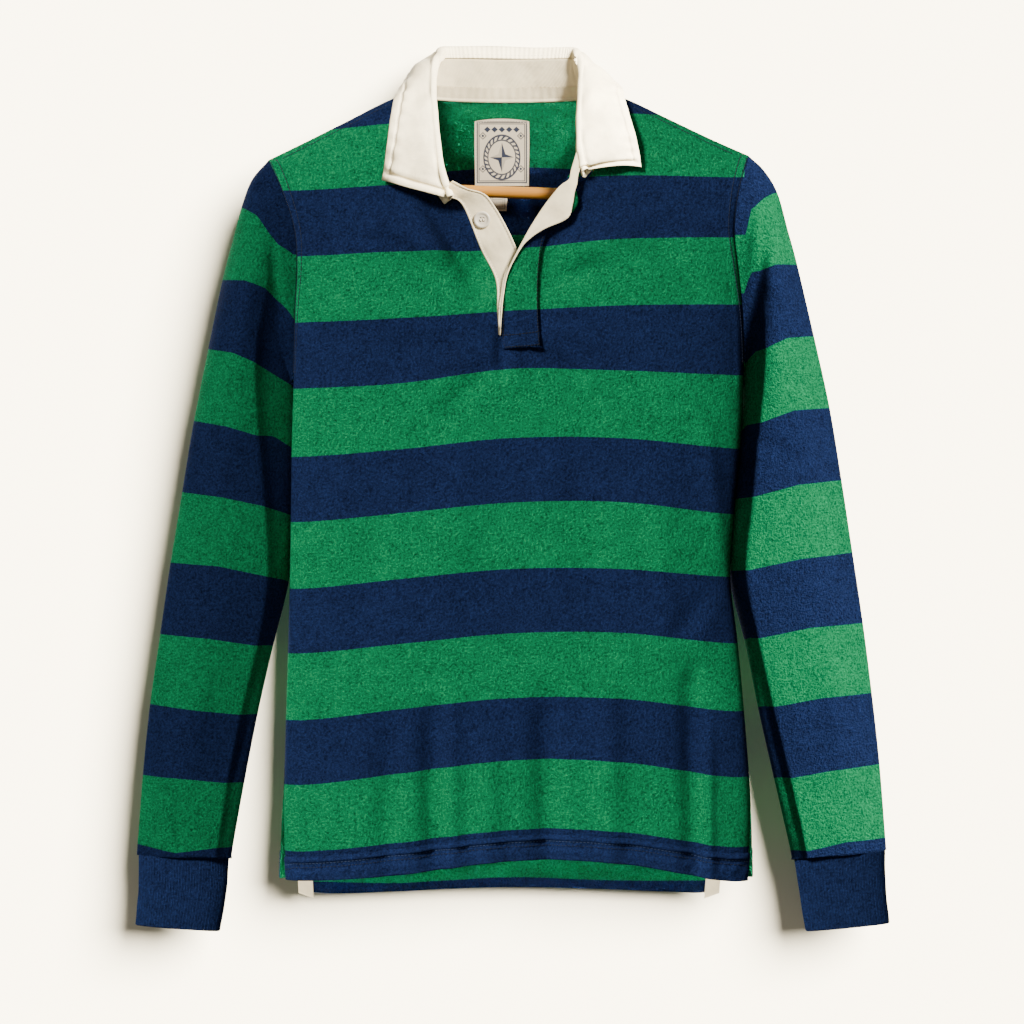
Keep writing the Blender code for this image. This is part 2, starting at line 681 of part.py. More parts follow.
# ---- collar ---------------------------------------------------------------------------------
def collar_stations():
    """The collar's table read at even steps round the neck: neck seam, roll line and free edge."""
    rows = np.array(COLLAR, float)
    at = np.linspace(0, len(rows) - 1, COLLAR_STEPS)
    read = np.stack([smooth(np.arange(len(rows)), rows[:, k], at) for k in range(rows.shape[1])], -1)
    x, z = read[:, 0], read[:, 1]
    base_y = np.where(read[:, 3] < 4, front_depth(x, z), back_depth(x, z) - JERSEY)
    return np.stack([x, base_y, z], -1), read[:, 2:5], read[:, 5:8], read[:, 8:]


def collar_frames():
    """At each station: up the stand, and out from the neck."""
    base, fold, edge, arch = collar_stations()
    up = fold - base
    up /= np.linalg.norm(up, axis=1, keepdims=True)
    along = np.gradient(fold, axis=0)
    out = np.cross(up, along)
    out /= np.linalg.norm(out, axis=1, keepdims=True)
    out *= np.sign((out * (fold - (0, 0, 60))).sum(axis=1, keepdims=True))
    return base, fold, edge, arch, up, out


def make_stand():
    """From the neck seam up to the leaf's inner seam."""
    base, fold, _, _, up, out = collar_frames()
    low = base + up * SEAM_GAP
    high = fold - up * (ROLL + inside_reach(base, fold) + 1.6 * SEAM_GAP) - out * ROLL
    share = np.linspace(0, 1, 4)[:, None, None]
    inner_face = low * (1 - share) + high * share
    outer_face = inner_face + out * TWILL
    wall("collar_stand", outer_face, inner_face, "cream_twill")


def inside_reach(base, fold):
    """How far down inside the leaf comes: less where the stand is low, near the front ends."""
    return np.clip(np.linalg.norm(fold - base, axis=1)[:, None] - ROLL - 4, 1, INSIDE_LEAF)


def leaf_grid():
    """Up inside the stand, over the roll and down to the free edge, clear of the cloth below."""
    base, fold, edge, arch, up, out = collar_frames()
    reach = inside_reach(base, fold)
    middle = fold - up * ROLL
    lines = [middle - out * ROLL - up * reach, middle - out * ROLL - up * reach * 0.35]
    for angle in np.radians((180, 120, 60, 0)):
        lines.append(middle + ROLL * (out * math.cos(angle) + up * math.sin(angle)))
    start = middle + out * ROLL
    length = np.linalg.norm(edge - start, axis=1, keepdims=True)
    bend = (start + edge) / 2 + length * (out + up) * arch
    for t in LEAF_SHARES:
        lines.append(start * (1 - t) ** 2 + bend * 2 * t * (1 - t) + edge * t * t)
    grid = np.array(lines)
    for line in grid[LEAF_TURN + 1:]:
        x, y, z = line.T.copy()
        over = z < rising(RIDGE, 1, x) + LEAF_CLEAR
        ahead, behind = over & (y < 2), over & (y >= 2)
        line[ahead, 1] = np.minimum(y, front_depth(x, z) - LEAF_CLEAR)[ahead]
        line[behind, 1] = np.maximum(y, back_depth(x, z) + LEAF_CLEAR)[behind]
    return grid, out


def make_leaf():
    grid, out = leaf_grid()
    direction = normals(grid, False)
    direction *= np.sign((direction[LEAF_TURN:] * out).sum())
    direction[:2] = -out
    wall("collar_leaf", grid, grid - direction * TWILL, "cream_twill")


def make_neck_tape(back):
    """A tape along the inside of the back neck seam: the panel's own surface there, moved in."""
    first, last = NECK_TAPE_ENDS
    across = back[0, :, 0]
    x = np.concatenate([[first], across[(across > first + 2) & (across < last - 2)], [last]])
    inwards = -normals(back, False)[:2]
    read = lambda row: np.stack([np.interp(x, across, row[:, k]) for k in range(3)], -1)
    top, low, aside = read(back[0]), read(back[1]), read(inwards[0])
    share = (NECK_TAPE_EDGES[:, None, None] - top[:, 2:]) / (low - top)[:, 2:]
    face = top + (low - top) * share + aside * (JERSEY + 2 * LAID_ON)
    wall("neck_tape", face + aside * TAPE, face, "cream_twill")


# ---- placket --------------------------------------------------------------------------------
def strip_grid(table, rows, columns, bow):
    """Rows of a strip between its two edges, lifted off the body, with a slight bow across."""
    table = np.array(table, float)
    at = np.linspace(0, len(table) - 1, rows)
    read = [smooth(np.arange(len(table)), table[:, k], at)[:, None] for k in range(6)]
    share = np.linspace(0, 1, columns)[None]
    x = read[0] + (read[2] - read[0]) * share
    z = read[1] + (read[3] - read[1]) * share
    lift = read[4] + (read[5] - read[4]) * share + bow * 4 * share * (1 - share)
    return np.stack([x, front_depth(x, z) - lift, z], -1)


def make_strip(name, table, rows, columns, bow, colour):
    grid = strip_grid(table, rows, columns, bow)
    direction = normals(grid, False)
    direction *= -np.sign(direction[:, :, 1].sum())
    wall(name, grid, grid - direction * TWILL, colour)
    return grid, direction


def make_button(grid, direction):
    """A turned disc with a rim and holes, standing on the under placket."""
    x, z = BUTTON_AT
    far = np.hypot(grid[:, :, 0] - x, grid[:, :, 2] - z)
    i, j = np.unravel_index(far.argmin(), far.shape)
    up = direction[i, j]
    foot = grid[i, j] + ((x, 0, z) - grid[i, j]) * (1, 0, 1)
    foot[1] = grid[i, j, 1] - ((foot - grid[i, j]) * up * (1, 0, 1)).sum() / up[1]
    profile = (
        (0, 0), (BUTTON_RADIUS * 0.8, 0), (BUTTON_RADIUS, 1.0), (BUTTON_RADIUS * 0.97, BUTTON_THICK * 0.85),
        (BUTTON_RADIUS * 0.86, BUTTON_THICK), (BUTTON_RADIUS * 0.66, BUTTON_THICK * 0.8),
        (BUTTON_RADIUS * 0.5, BUTTON_THICK * 0.62), (0, BUTTON_THICK * 0.6),
    )
    work = bmesh.new()
    points = [work.verts.new((r * MM, 0, h * MM)) for r, h in profile]
    edges = [work.edges.new(pair) for pair in zip(points[:-1], points[1:])]
    bmesh.ops.spin(
        work, geom=points + edges, cent=(0, 0, 0), axis=(0, 0, 1), angle=2 * math.pi, steps=20,
        use_merge=False,
    )
    bmesh.ops.remove_doubles(work, verts=work.verts, dist=0.00001)
    bmesh.ops.recalc_face_normals(work, faces=work.faces)
    mesh = bpy.data.meshes.new("button")
    work.to_mesh(mesh)
    work.free()
    mesh.shade_smooth()
    mesh.set_sharp_from_angle(angle=math.radians(50))
    button = bpy.data.objects.new("button", mesh)
    bpy.context.scene.collection.objects.link(button)
    button.data.materials.append(material("button_shell"))
    ring = BUTTON_HOLE_RING
    for k in range(BUTTON_HOLES):
        angle = math.pi / 4 + k * 2 * math.pi / BUTTON_HOLES
        circle = [
            (ring * math.cos(angle) + BUTTON_HOLE_RADIUS * math.cos(a),
             ring * math.sin(angle) + BUTTON_HOLE_RADIUS * math.sin(a))
            for a in np.arange(8) * math.pi / 4
        ]
        tool = cutter(f"button_hole_{k}", circle, -2, BUTTON_THICK + 2)
        tool.data.transform(Matrix.Rotation(math.pi / 2, 4, "X"))
        tool.parent = button
        cut(button, tool)
    from_up = up / np.linalg.norm(up)
    button.rotation_mode = "QUATERNION"
    button.rotation_quaternion = Vector((0, 0, 1)).rotation_difference(Vector(from_up))
    button.location = Vector((foot + up * LAID_ON) * MM)


# ---- labels, vents, hanger ------------------------------------------------------------------
def make_label(name, place, lift):
    """A flat label on the inside of the back."""
    left, right, bottom, top = place
    z, x = np.meshgrid(np.linspace(top, bottom, 6), np.linspace(left, right, 5), indexing="ij")
    y = back_depth(x, z) - JERSEY - LAID_ON - lift
    back = np.stack([x, y, z], -1)
    wall(name, back - (0, TAPE, 0), back, "label_cloth")


def make_vent_tape(name, place):
    """A narrow tape from the top of a side vent, inside both panels, out below the hem."""
    top_left, low_left, width, top, bottom, slant = place
    share = np.linspace(0, 1, 7)[:, None]
    across = np.linspace(0, 1, 4)[None]
    x = top_left + (low_left - top_left) * share + width * across
    z = top + (bottom - top) * share + slant * (2 * across - 1) * share
    y = back_depth(x, z) - JERSEY - LAID_ON - TAPE
    near = np.stack([x, y - 0.6, z], -1)
    wall(name, near, near + (0, TAPE, 0), "cream_twill")


def make_bar():
    bpy.ops.mesh.primitive_cylinder_add(
        vertices=24, radius=BAR_RADIUS * MM, depth=2 * BAR_HALF * MM,
        rotation=(0, math.pi / 2 + BAR_TILT, 0),
    )
    bar = bpy.context.object
    bar.name = bar.data.name = "hanger_bar"
    bar.data.materials.append(material("light_wood"))
    bar.data.shade_smooth()
    bar.data.set_sharp_from_angle(angle=math.radians(40))


def make_arm(name, side, lift):
    """A bent round rod: a circle carried along its route, with flat ends. Past its foot on the bar
    it is lifted a little to meet its own shoulder."""
    route = np.array(ARM_ROUTE, float)
    at = np.linspace(0, len(route) - 1, 21)
    x = smooth(np.arange(len(route)), route[:, 0], at)
    drop = -side * x * math.tan(BAR_TILT)
    z = smooth(np.arange(len(route)), route[:, 1], at)
    z = z + drop * np.clip((105 - x) / 20, 0, 1) + lift * np.clip((z - 20) / 20, 0, 1)
    path = np.stack([side * x, np.zeros_like(x), z], -1)
    along = np.gradient(path, axis=0)
    along /= np.linalg.norm(along, axis=1, keepdims=True)
    aside = np.cross(along, (0, 1, 0))
    angle = np.arange(ARM_SIDES) * 2 * math.pi / ARM_SIDES
    rings = path[:, None] + ARM_RADIUS * (
        aside[:, None] * np.cos(angle)[None, :, None] + np.array((0, 1, 0)) * np.sin(angle)[None, :, None]
    )
    count = len(at)
    index = np.arange(count * ARM_SIDES).reshape(count, ARM_SIDES)
    after = np.roll(index, -1, 1)
    faces = np.stack([index[:-1], after[:-1], after[1:], index[1:]], -1).reshape(-1, 4).tolist()
    faces += [index[0][::-1].tolist(), index[-1].tolist()]
    mesh = bpy.data.meshes.new(name)
    mesh.from_pydata((rings.reshape(-1, 3) * MM).tolist(), [], faces)
    work = bmesh.new()
    work.from_mesh(mesh)
    bmesh.ops.recalc_face_normals(work, faces=work.faces)
    work.to_mesh(mesh)
    work.free()
    mesh.shade_smooth()
    mesh.set_sharp_from_angle(angle=math.radians(50))
    thing = bpy.data.objects.new(name, mesh)
    bpy.context.scene.collection.objects.link(thing)
    thing.data.materials.append(material("light_wood"))


def main():
    clear_scene()
    front = make_front()
    back = make_back()
    make_hem_band("front_hem_band", front, -3, -1)
    make_hem_band("back_hem_band", back, -3, 1)
    make_sleeve("sleeve_left", SLEEVE_LEFT, armhole_ring(front, back, 0))
    make_sleeve("sleeve_right", SLEEVE_RIGHT, armhole_ring(front, back, -1))
    make_cuff("cuff_left", CUFF_LEFT)
    make_cuff("cuff_right", CUFF_RIGHT)
    make_stand()
    make_leaf()
    make_neck_tape(back)
    strip, direction = make_strip("under_placket", UNDER_PLACKET, 13, 6, 0, "cream_twill")
    make_button(strip, direction)
    make_strip("over_placket", OVER_PLACKET, 15, 5, 0.4, "striped_jersey")
    make_strip("placket_facing", FACING, 13, 5, 0.6, "cream_twill")
    make_label("main_label", MAIN_LABEL, 0)
    make_label("size_label", SIZE_LABEL, 0)
    for name, place in VENT_TAPES.items():
        make_vent_tape(name, place)
    make_bar()
    make_arm("hanger_arm_left", -1, 0)
    make_arm("hanger_arm_right", 1, 1.1)


ARM_TOPS, ARM_BOTTOMS = armhole_ends()
main()
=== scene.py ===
"""The looks of a long-sleeved striped polo shirt of the rugby kind, hung on a light wooden hanger.

Each cloth piece is a thin wall worked out on a fine grid from the same tables as the solids, with its
creases added as soft troughs and ridges. Tables are in millimetres, left and right are the viewer's.
"""

import json
import math

import bmesh
import bpy
import numpy as np
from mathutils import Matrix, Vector

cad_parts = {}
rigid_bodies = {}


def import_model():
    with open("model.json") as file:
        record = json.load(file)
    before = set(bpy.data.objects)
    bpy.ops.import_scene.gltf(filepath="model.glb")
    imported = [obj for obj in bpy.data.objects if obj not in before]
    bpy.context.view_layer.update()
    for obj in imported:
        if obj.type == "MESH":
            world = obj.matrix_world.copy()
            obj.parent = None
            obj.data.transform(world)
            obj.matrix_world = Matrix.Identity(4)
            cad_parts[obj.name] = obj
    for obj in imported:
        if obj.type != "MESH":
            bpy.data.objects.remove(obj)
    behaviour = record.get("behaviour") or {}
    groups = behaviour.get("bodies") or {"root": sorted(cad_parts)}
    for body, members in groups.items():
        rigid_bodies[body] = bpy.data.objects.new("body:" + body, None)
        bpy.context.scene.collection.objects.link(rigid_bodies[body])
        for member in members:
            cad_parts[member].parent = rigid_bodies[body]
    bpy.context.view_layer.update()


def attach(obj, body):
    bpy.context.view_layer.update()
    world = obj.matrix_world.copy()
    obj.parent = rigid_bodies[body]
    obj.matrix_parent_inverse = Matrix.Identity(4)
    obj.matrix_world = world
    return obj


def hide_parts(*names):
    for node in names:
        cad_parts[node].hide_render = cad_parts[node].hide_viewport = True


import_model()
MM = 0.001

# ---- the body -------------------------------------------------------------------------------
STRIPE = 60.0         # width of a stripe in the cloth's own level, which runs down from the shoulder
UNDERARM_LEVEL = 232
BAND_LEVEL = 665
BOTTOM_LEVEL = 687
SHOULDER_ROLL = 70.0
ARMHOLE_FRONT = 23.0
ARMHOLE_BACK = 20.0
SIDE_ROUND = 3.5
JERSEY = 1.6          # thickness of the striped cloth
CREASE_GAIN = 1.6     # how much stronger the body's creases are than their tables say
BODY_WAVES = 0.7      # height of the slow waves over the body
WELT_WIDE, WELT_EDGE, WELT_FOOT = 7.9, 0.9, -190  # the raised welt beside an armhole
BAND_FADE = 9         # a hem band's relief fades over this width at its ends

ACROSS = (-188, -98, 1, 100, 203)
FRONT_LEVELS = (
    # level, heights at the five places across
    (-60, 115, 121, 126, 129, 127),
    (0, 55, 61, 67, 70, 68),
    (60, 0, 5, 8, 13, 12),
    (120, -59, -55, -53, -44, -42),
    (180, -118, -115, -108.5, -103.5, -102),
    (240, -177, -173, -160, -161.5, -165),
    (300, -238.5, -232, -222, -222, -231),
    (360, -297, -289, -279.5, -279, -290),
    (420, -357, -348, -339, -339, -346.5),
    (480, -415, -406, -396.5, -396, -406),
    (540, -475, -464.5, -454.5, -455, -467),
    (600, -533, -522, -510, -511.5, -526),
    (660, -592.7, -584, -572.4, -574, -589),
    (687, -619.2, -613, -600.3, -602.6, -620),
)
BACK_LEVELS = (
    (-60, 115, 140, 152, 142, 127),
    (0, 55, 84, 92, 86, 68),
    (60, 0, 16, 24, 20, 12),
    (120, -59, -45, -37, -40, -42),
    (180, -118, -106, -98.5, -100, -102),
    (240, -177, -167.5, -160, -162, -165),
    (300, -238.5, -229, -221.5, -224, -231),
    (360, -297, -290.5, -283, -286, -290),
    (420, -357, -352, -344.5, -346, -346.5),
    (480, -415, -413.5, -406, -407, -406),
    (540, -475, -474, -467.5, -468, -467),
    (600, -533, -535, -529, -529, -526),
    (660, -622, -624, -619, -622, -621),
)
BODY = (
    # height, left, right, front, back, back_left, back_right
    (35, -219, 216, 28, 24, -219, 216),
    (0, -203, 206, 30, 24, -203, 206),
    (-35, -192, 201.6, 33, 25, -192, 201.6),
    (-70, -190, 205.5, 35, 26, -190, 205.5),
    (-105, -192, 209.5, 36, 26, -192, 209.5),
    (-150, -193.5, 211.5, 36, 26, -193.5, 211.5),
    (-215, -195.7, 209.5, 35, 25, -195.7, 209.5),
    (-290, -196.8, 203, 33, 24, -196.8, 203),
    (-345, -197.6, 199.5, 32, 23, -197.6, 199.5),
    (-405, -199, 206, 31, 22, -199, 206),
    (-470, -201, 212, 30, 22, -201, 212),
    (-535, -202.5, 216.5, 30, 22, -203, 217),
    (-568, -203, 217, 30, 22, -205, 218.5),
    (-625, -200, 214, 31, 22, -207, 219.5),
)
RIDGE = (
    # across, height
    (-219, 28), (-182, 46), (-148, 63), (-103, 85), (-73, 93), (-40, 135),
    (0, 160), (38, 135), (69, 94), (102, 85.5), (141, 67.5), (182, 48), (216, 33),
)
BACK_BOTTOM = (
    (-207, -618), (-192, -620), (-186, -629.5), (-175, -632), (-110, -632), (-30, -628.5), (20, -628),
    (75, -629.5), (150, -632), (178, -632), (186, -629.5), (192, -620), (219, -617),
)

# Creases of the front: a soft ridge (height > 0) or trough along a line.
FRONT_CREASES = (
    # across_0, height_0, across_1, height_1, half_width, height
    (176, -205, 197, -352, 8, 7),
    (163, -400, 167, -650, 11, -10),
    (180, -470, 179, -655, 5, 7),
    (-69, -450, -66, -650, 12, -7),
    (-52, -440, -50, -640, 8, 3.5),
    (-64, 12, -16, -100, 24, -7),
    (46, -14, 34, -100, 14, -2.5),
    (-61, 4, -20, -106, 9, -5),
    (-86, -8, -38, -112, 10, 3.5),
    (-12, -150, -70, -215, 10, -2.5),
    (40, -150, 92, -205, 10, -2.2),
    (32, -440, 36, -640, 13, -7),
    (-187, -440, -190, -615, 8, 3.5),
    (-107, -455, -109, -640, 12, -5),
    (-20, -480, -16, -640, 11, 3.5),
    (88, -440, 92, -640, 13, 5),
    (-78, -4, -27, -74, 8, -5),
    (-58, -2, -24, -52, 6, 2),
    (-8, -122, -6, -170, 4.5, -4.5),
    (4, -130, 8, -185, 7, 2.2),
    (-120, -36, -30, -96, 11, -4.2),
    (-140, -18, -50, -62, 11, 2.8),
    (-165, -90, -50, -132, 15, 2.6),
    (40, -60, 120, -38, 10, 2.2),
    (34, -84, 96, -66, 8, -2.6),
    (30, -118, 84, -142, 8, 2.4),
    (24, -138, 70, -172, 7, -2.6),
    (128, -20, 176, -120, 14, -3.2),
    (-170, 5, -152, -105, 11, -3.4),
    (-186, -190, -160, -300, 12, 1.6),
    (-120, -240, -137, -440, 18, -2.6),
    (-40, -210, -62, -420, 20, 2.4),
    (60, -210, 78, -430, 20, -2.6),
    (128, -230, 150, -440, 15, 2.8),
    (190, -345, 140, -410, 8, -3.2),
    (194, -368, 150, -440, 8, 2.8),
)
BACK_CREASES = (
    (-120, -60, -150, -330, 20, -4),
    (125, -80, 160, -360, 20, -4),
    (-60, -430, -70, -630, 18, 4),
    (70, -400, 95, -630, 20, 4),
    (0, 40, 5, -220, 26, -3),
    (-170, -150, -90, -190, 12, 2),
    (175, -140, 100, -200, 12, 2.2),
    (-150, -420, -120, -560, 14, -2.5),
    (10, -330, -20, -560, 20, -2.5),
    (150, -400, 140, -600, 12, -3),
    (-100, 20, -40, -40, 12, 1.8),
    (95, 30, 50, -50, 12, 1.8),
)


# ---- curves and surfaces --------------------------------------------------------------------
def smooth(places, values, at):
    """A cubic through the given values, with straight ends beyond the first and last place."""
    places = np.asarray(places, float)
    values = np.asarray(values, float)
    chords = np.diff(values) / np.diff(places)
    slopes = np.concatenate([chords[:1], (chords[:-1] + chords[1:]) / 2, chords[-1:]])
    inside = np.clip(at, places[0], places[-1])
    i = np.clip(np.searchsorted(places, inside, side="right") - 1, 0, len(places) - 2)
    step = places[i + 1] - places[i]
    t = (inside - places[i]) / step
    value = (
        values[i] * (1 + 2 * t) * (1 - t) ** 2
        + values[i + 1] * t * t * (3 - 2 * t)
        + slopes[i] * step * t * (1 - t) ** 2
        + slopes[i + 1] * step * t * t * (t - 1)
    )
    return value + np.where(at < inside, slopes[0], slopes[-1]) * (at - inside)


def falling(table, column, at):
    """A column of a table whose first column falls from row to row."""
    rows = np.array(table, float)[::-1]
    return smooth(rows[:, 0], rows[:, column], at)


def rising(table, column, at):
    """A column of a table whose first column rises from row to row."""
    rows = np.array(table, float)
    return smooth(rows[:, 0], rows[:, column], at)


def rows_at(table, at):
    """A whole table read at row numbers between its rows: one column of the result for each of its."""
    rows = np.array(table, float)
    return np.stack([smooth(np.arange(len(rows)), rows[:, k], at) for k in range(rows.shape[1])], -1)


def step(low, high, at):
    """0 below low, 1 above high, and an eased rise between them."""
    t = np.clip((at - low) / (high - low), 0, 1)
    return t * t * (3 - 2 * t)


def ripple(a, b, seed):
    """Slow uneven waves over two coordinates in mm: a sum of sines of unlike lengths and directions."""
    total = np.zeros(np.broadcast(a, b).shape)
    for k in range(7):
        turn = seed * 1.7 + k * 2.4
        wave = 2 * math.pi / (26 + 13.7 * k)
        total += np.sin((a * math.cos(turn) + b * math.sin(turn)) * wave + seed * 5.1 + 1.9 * k)
    return total / 7


def level_heights(table, x):
    """Heights of every level of a table at x, by a cubic across its five columns."""
    rows = np.array(table, float)[:, 1:]
    q = np.interp(x, ACROSS, np.arange(5.0))
    i = np.clip(q.astype(int), 0, 3)
    t = q - i
    a, b, c, d = (rows[:, np.clip(i + k, 0, 4)] for k in (-1, 0, 1, 2))
    return b + t * (c - a) / 2 + t * t * (a - 2.5 * b + 2 * c - d / 2) + t ** 3 * (
        1.5 * (b - c) + (d - a) / 2
    )


def level_height(level, x):
    """Height on the front of one level, or of a level for each row, at x."""
    heights = level_heights(FRONT_LEVELS, x)
    levels = np.array(FRONT_LEVELS, float)[:, 0]
    at = np.broadcast_to(level, x.shape)
    i = np.clip(np.searchsorted(levels, at, side="right") - 1, 0, len(levels) - 2)
    above, below = (np.take_along_axis(heights, k[None], 0)[0] for k in (i, i + 1))
    return above + (below - above) * (at - levels[i]) / (levels[i + 1] - levels[i])


def level_of(levels, heights, z):
    """The level at height z, between the two levels whose heights lie either side of it."""
    i = np.clip((heights > z).sum(axis=0) - 1, 0, len(heights) - 2)
    above = np.take_along_axis(heights, i[None], 0)[0]
    below = np.take_along_axis(heights, i[None] + 1, 0)[0]
    levels = np.asarray(levels, float)
    return levels[i] + (levels[i + 1] - levels[i]) * (above - z) / (above - below)


def teardrop(height, top, bottom):
    """How far an armhole bows at this height: 0 at its top, 1 near a quarter of the way down, and a
    long taper to 0 at the underarm."""
    share = np.clip((top - height) / (top - bottom), 0, 1)
    return share ** 0.45 * (1 - share) ** 1.35 / 0.362


def creases(table, x, z):
    """Sum of soft ridges and troughs, each fading sideways and towards both its ends."""
    total = np.zeros_like(x)
    for x0, z0, x1, z1, half_width, height in table:
        length = math.hypot(x1 - x0, z1 - z0)
        along = ((x - x0) * (x1 - x0) + (z - z0) * (z1 - z0)) / length ** 2
        aside = ((x - x0) * (z1 - z0) - (z - z0) * (x1 - x0)) / length
        fade = np.clip(1.0 - np.abs(2 * along - 1) ** 3, 0, 1)
        total += height * fade * np.exp(-((aside / half_width) ** 2))
    return total


def body_edges(z, back):
    first = 5 if back else 1
    return falling(BODY, first, z), falling(BODY, first + 1, z)


def body_depth(x, z, back):
    """How far the front or back stands from the hanger's plane: an even swell, rounded down to the
    side seams and the shoulder line, bowed at the armholes, with its creases and slow waves, and a
    welt 1 mm high beside each armhole."""
    left, right = body_edges(z, back)
    s = np.clip((2 * x - left - right) / (right - left), -1, 1)
    below = np.clip((rising(RIDGE, 1, x) - z) / SHOULDER_ROLL, 0, 1)
    crown = (1 - (1 - below) ** 2) ** 0.6
    top = np.where(x < 0, ARM_TOPS[0], ARM_TOPS[1])
    bottom = np.where(x < 0, ARM_BOTTOMS[0], ARM_BOTTOMS[1])
    edge = teardrop(z, top, bottom) * (ARMHOLE_BACK if back else ARMHOLE_FRONT)
    fullness = (1 - np.abs(s) ** SIDE_ROUND) ** 0.5
    swell = falling(BODY, 4 if back else 3, z) * crown
    made = CREASE_GAIN * creases(BACK_CREASES if back else FRONT_CREASES, x, z)
    made = made + BODY_WAVES * ripple(x, z, 3.0 if back else 1.0)
    swell = swell + made * fullness * crown
    inside = np.minimum(x - left, right - x)
    welt = np.clip(inside / WELT_EDGE, 0, 1) * np.clip((WELT_WIDE - inside) / WELT_EDGE, 0, 1)
    welt = welt * np.clip((z - WELT_FOOT) / 20, 0, 1)
    return 0.2 + edge + np.maximum(swell - edge, 0) * fullness + welt * np.clip(below * 3, 0, 1)


def front_y(x, z):
    return -body_depth(np.asarray(x, float), np.asarray(z, float), False)


def back_y(x, z):
    return body_depth(np.asarray(x, float), np.asarray(z, float), True)


def shoulder_line(x):
    return np.minimum(rising(RIDGE, 1, x), 96.0)


def back_top(x):
    """The shoulder seams and, between them, the back neck seam."""
    return np.minimum(rising(RIDGE, 1, x), np.maximum(93.5, np.abs(x) + 22.5))


def knee_line(x):
    return level_height(UNDERARM_LEVEL, x)


def armhole_ends():
    """Height of each armhole's top and bottom, on the body's left and right edges."""
    tops, bottoms = [], []
    for side in (0, 1):
        for target, found in ((shoulder_line, tops), (knee_line, bottoms)):
            spot = np.array([(-200.0, 200.0)[side]])
            for _ in range(20):
                z = target(spot)
                spot = body_edges(z, False)[side]
            found.append(float(z[0]))
    return tops, bottoms


def normals(points, closed=False):
    """Unit normals of a grid, from the differences between its neighbours either way."""
    if closed:
        along = np.roll(points, -1, 1) - np.roll(points, 1, 1)
    else:
        along = np.gradient(points, axis=1)
    normal = np.cross(along, np.gradient(points, axis=0))
    return normal / np.maximum(np.linalg.norm(normal, axis=2, keepdims=True), 1e-9)


def rounded(distance, thickness):
    """Half the thickness of a folded edge at a distance from it: a quarter circle, then level."""
    t = np.clip(distance / (thickness * 0.5), 0, 1)
    return thickness / 2 * np.sqrt(np.clip(1 - (1 - t) ** 2, 0.02, 1))


def hump(at, centre, half_width):
    """1 at the centre, falling away like a bell on both sides."""
    return np.exp(-(((at - centre) / half_width) ** 2))


def lengths(line):
    """How far along a line of points each of them lies."""
    return np.concatenate([[0], np.cumsum(np.linalg.norm(np.diff(line, axis=0), axis=1))])


def unit(vectors):
    return vectors / np.linalg.norm(vectors, axis=1, keepdims=True)


# ---- meshes ---------------------------------------------------------------------------------
def placed(name, data):
    """An object of its own for a mesh, light or camera, put into the scene."""
    thing = bpy.data.objects.new(name, data)
    bpy.context.scene.collection.objects.link(thing)
    return thing


def piece(name, points, faces, skin, maps=None):
    """One mesh from points in mm and four-cornered faces, with UV maps given per point in metres."""
    mesh = bpy.data.meshes.new(name)
    mesh.vertices.add(len(points))
    mesh.vertices.foreach_set("co", (points * MM).astype(np.float32).ravel())
    mesh.loops.add(faces.size)
    mesh.loops.foreach_set("vertex_index", faces.ravel().astype(np.int32))
    mesh.polygons.add(len(faces))
    mesh.polygons.foreach_set("loop_start", np.arange(0, faces.size, faces.shape[1], dtype=np.int32))
    mesh.update(calc_edges=True)
    for label, values in (maps or {}).items():
        layer = mesh.uv_layers.new(name=label)
        layer.data.foreach_set("uv", values[faces.ravel()].astype(np.float32).ravel())
    mesh.validate()
    mesh.shade_smooth()
    mesh.materials.append(skin)
    return placed(name, mesh)


def grid_faces(rows, columns, closed=False):
    index = np.arange(rows * columns).reshape(rows, columns)
    if closed:
        index = np.concatenate([index, index[:, :1]], axis=1)
    return np.stack([index[:-1, :-1], index[:-1, 1:], index[1:, 1:], index[1:, :-1]], -1).reshape(-1, 4)


def signed_volume(points, faces):
    a, b, c, d = (points[faces[:, k]] for k in range(4))
    return (np.cross(b, c) * a).sum() + (np.cross(c, d) * a).sum()


def wall(name, outer, inner, skin, maps=None, closed=False):
    """A closed solid between two grids: both faces and a strip round every open edge."""
    rows, columns = outer.shape[:2]
    spare = rows * columns
    index = np.arange(spare).reshape(rows, columns)
    front = grid_faces(rows, columns, closed)
    ring = lambda line: np.concatenate([line, line[:1]]) if closed else line
    edges = [ring(index[0]), ring(index[-1])[::-1]]
    if not closed:
        edges += [index[:, -1], index[::-1, 0]]
    strips = [np.stack([e[:-1], e[:-1] + spare, e[1:] + spare, e[1:]], -1) for e in edges]
    faces = np.concatenate([front, front[:, ::-1] + spare, *strips])
    points = np.concatenate([outer.reshape(-1, 3), inner.reshape(-1, 3)])
    if signed_volume(points, faces) < 0:
        faces = faces[:, ::-1]
    doubled = {label: np.tile(values.reshape(-1, 2), (2, 1)) for label, values in (maps or {}).items()}
    return piece(name, points, faces, skin, doubled)


def cut(thing, mesh):
    """Takes the space inside a closed mesh out of a piece."""
    tool = placed("cutter", mesh)
    change = thing.modifiers.new("cutter", "BOOLEAN")
    change.object, change.operation, change.solver = tool, "DIFFERENCE", "EXACT"
    seen = thing.evaluated_get(bpy.context.evaluated_depsgraph_get())
    left = bpy.data.meshes.new_from_object(seen)
    thing.modifiers.clear()
    thing.data = left
    bpy.data.objects.remove(tool, do_unlink=True)


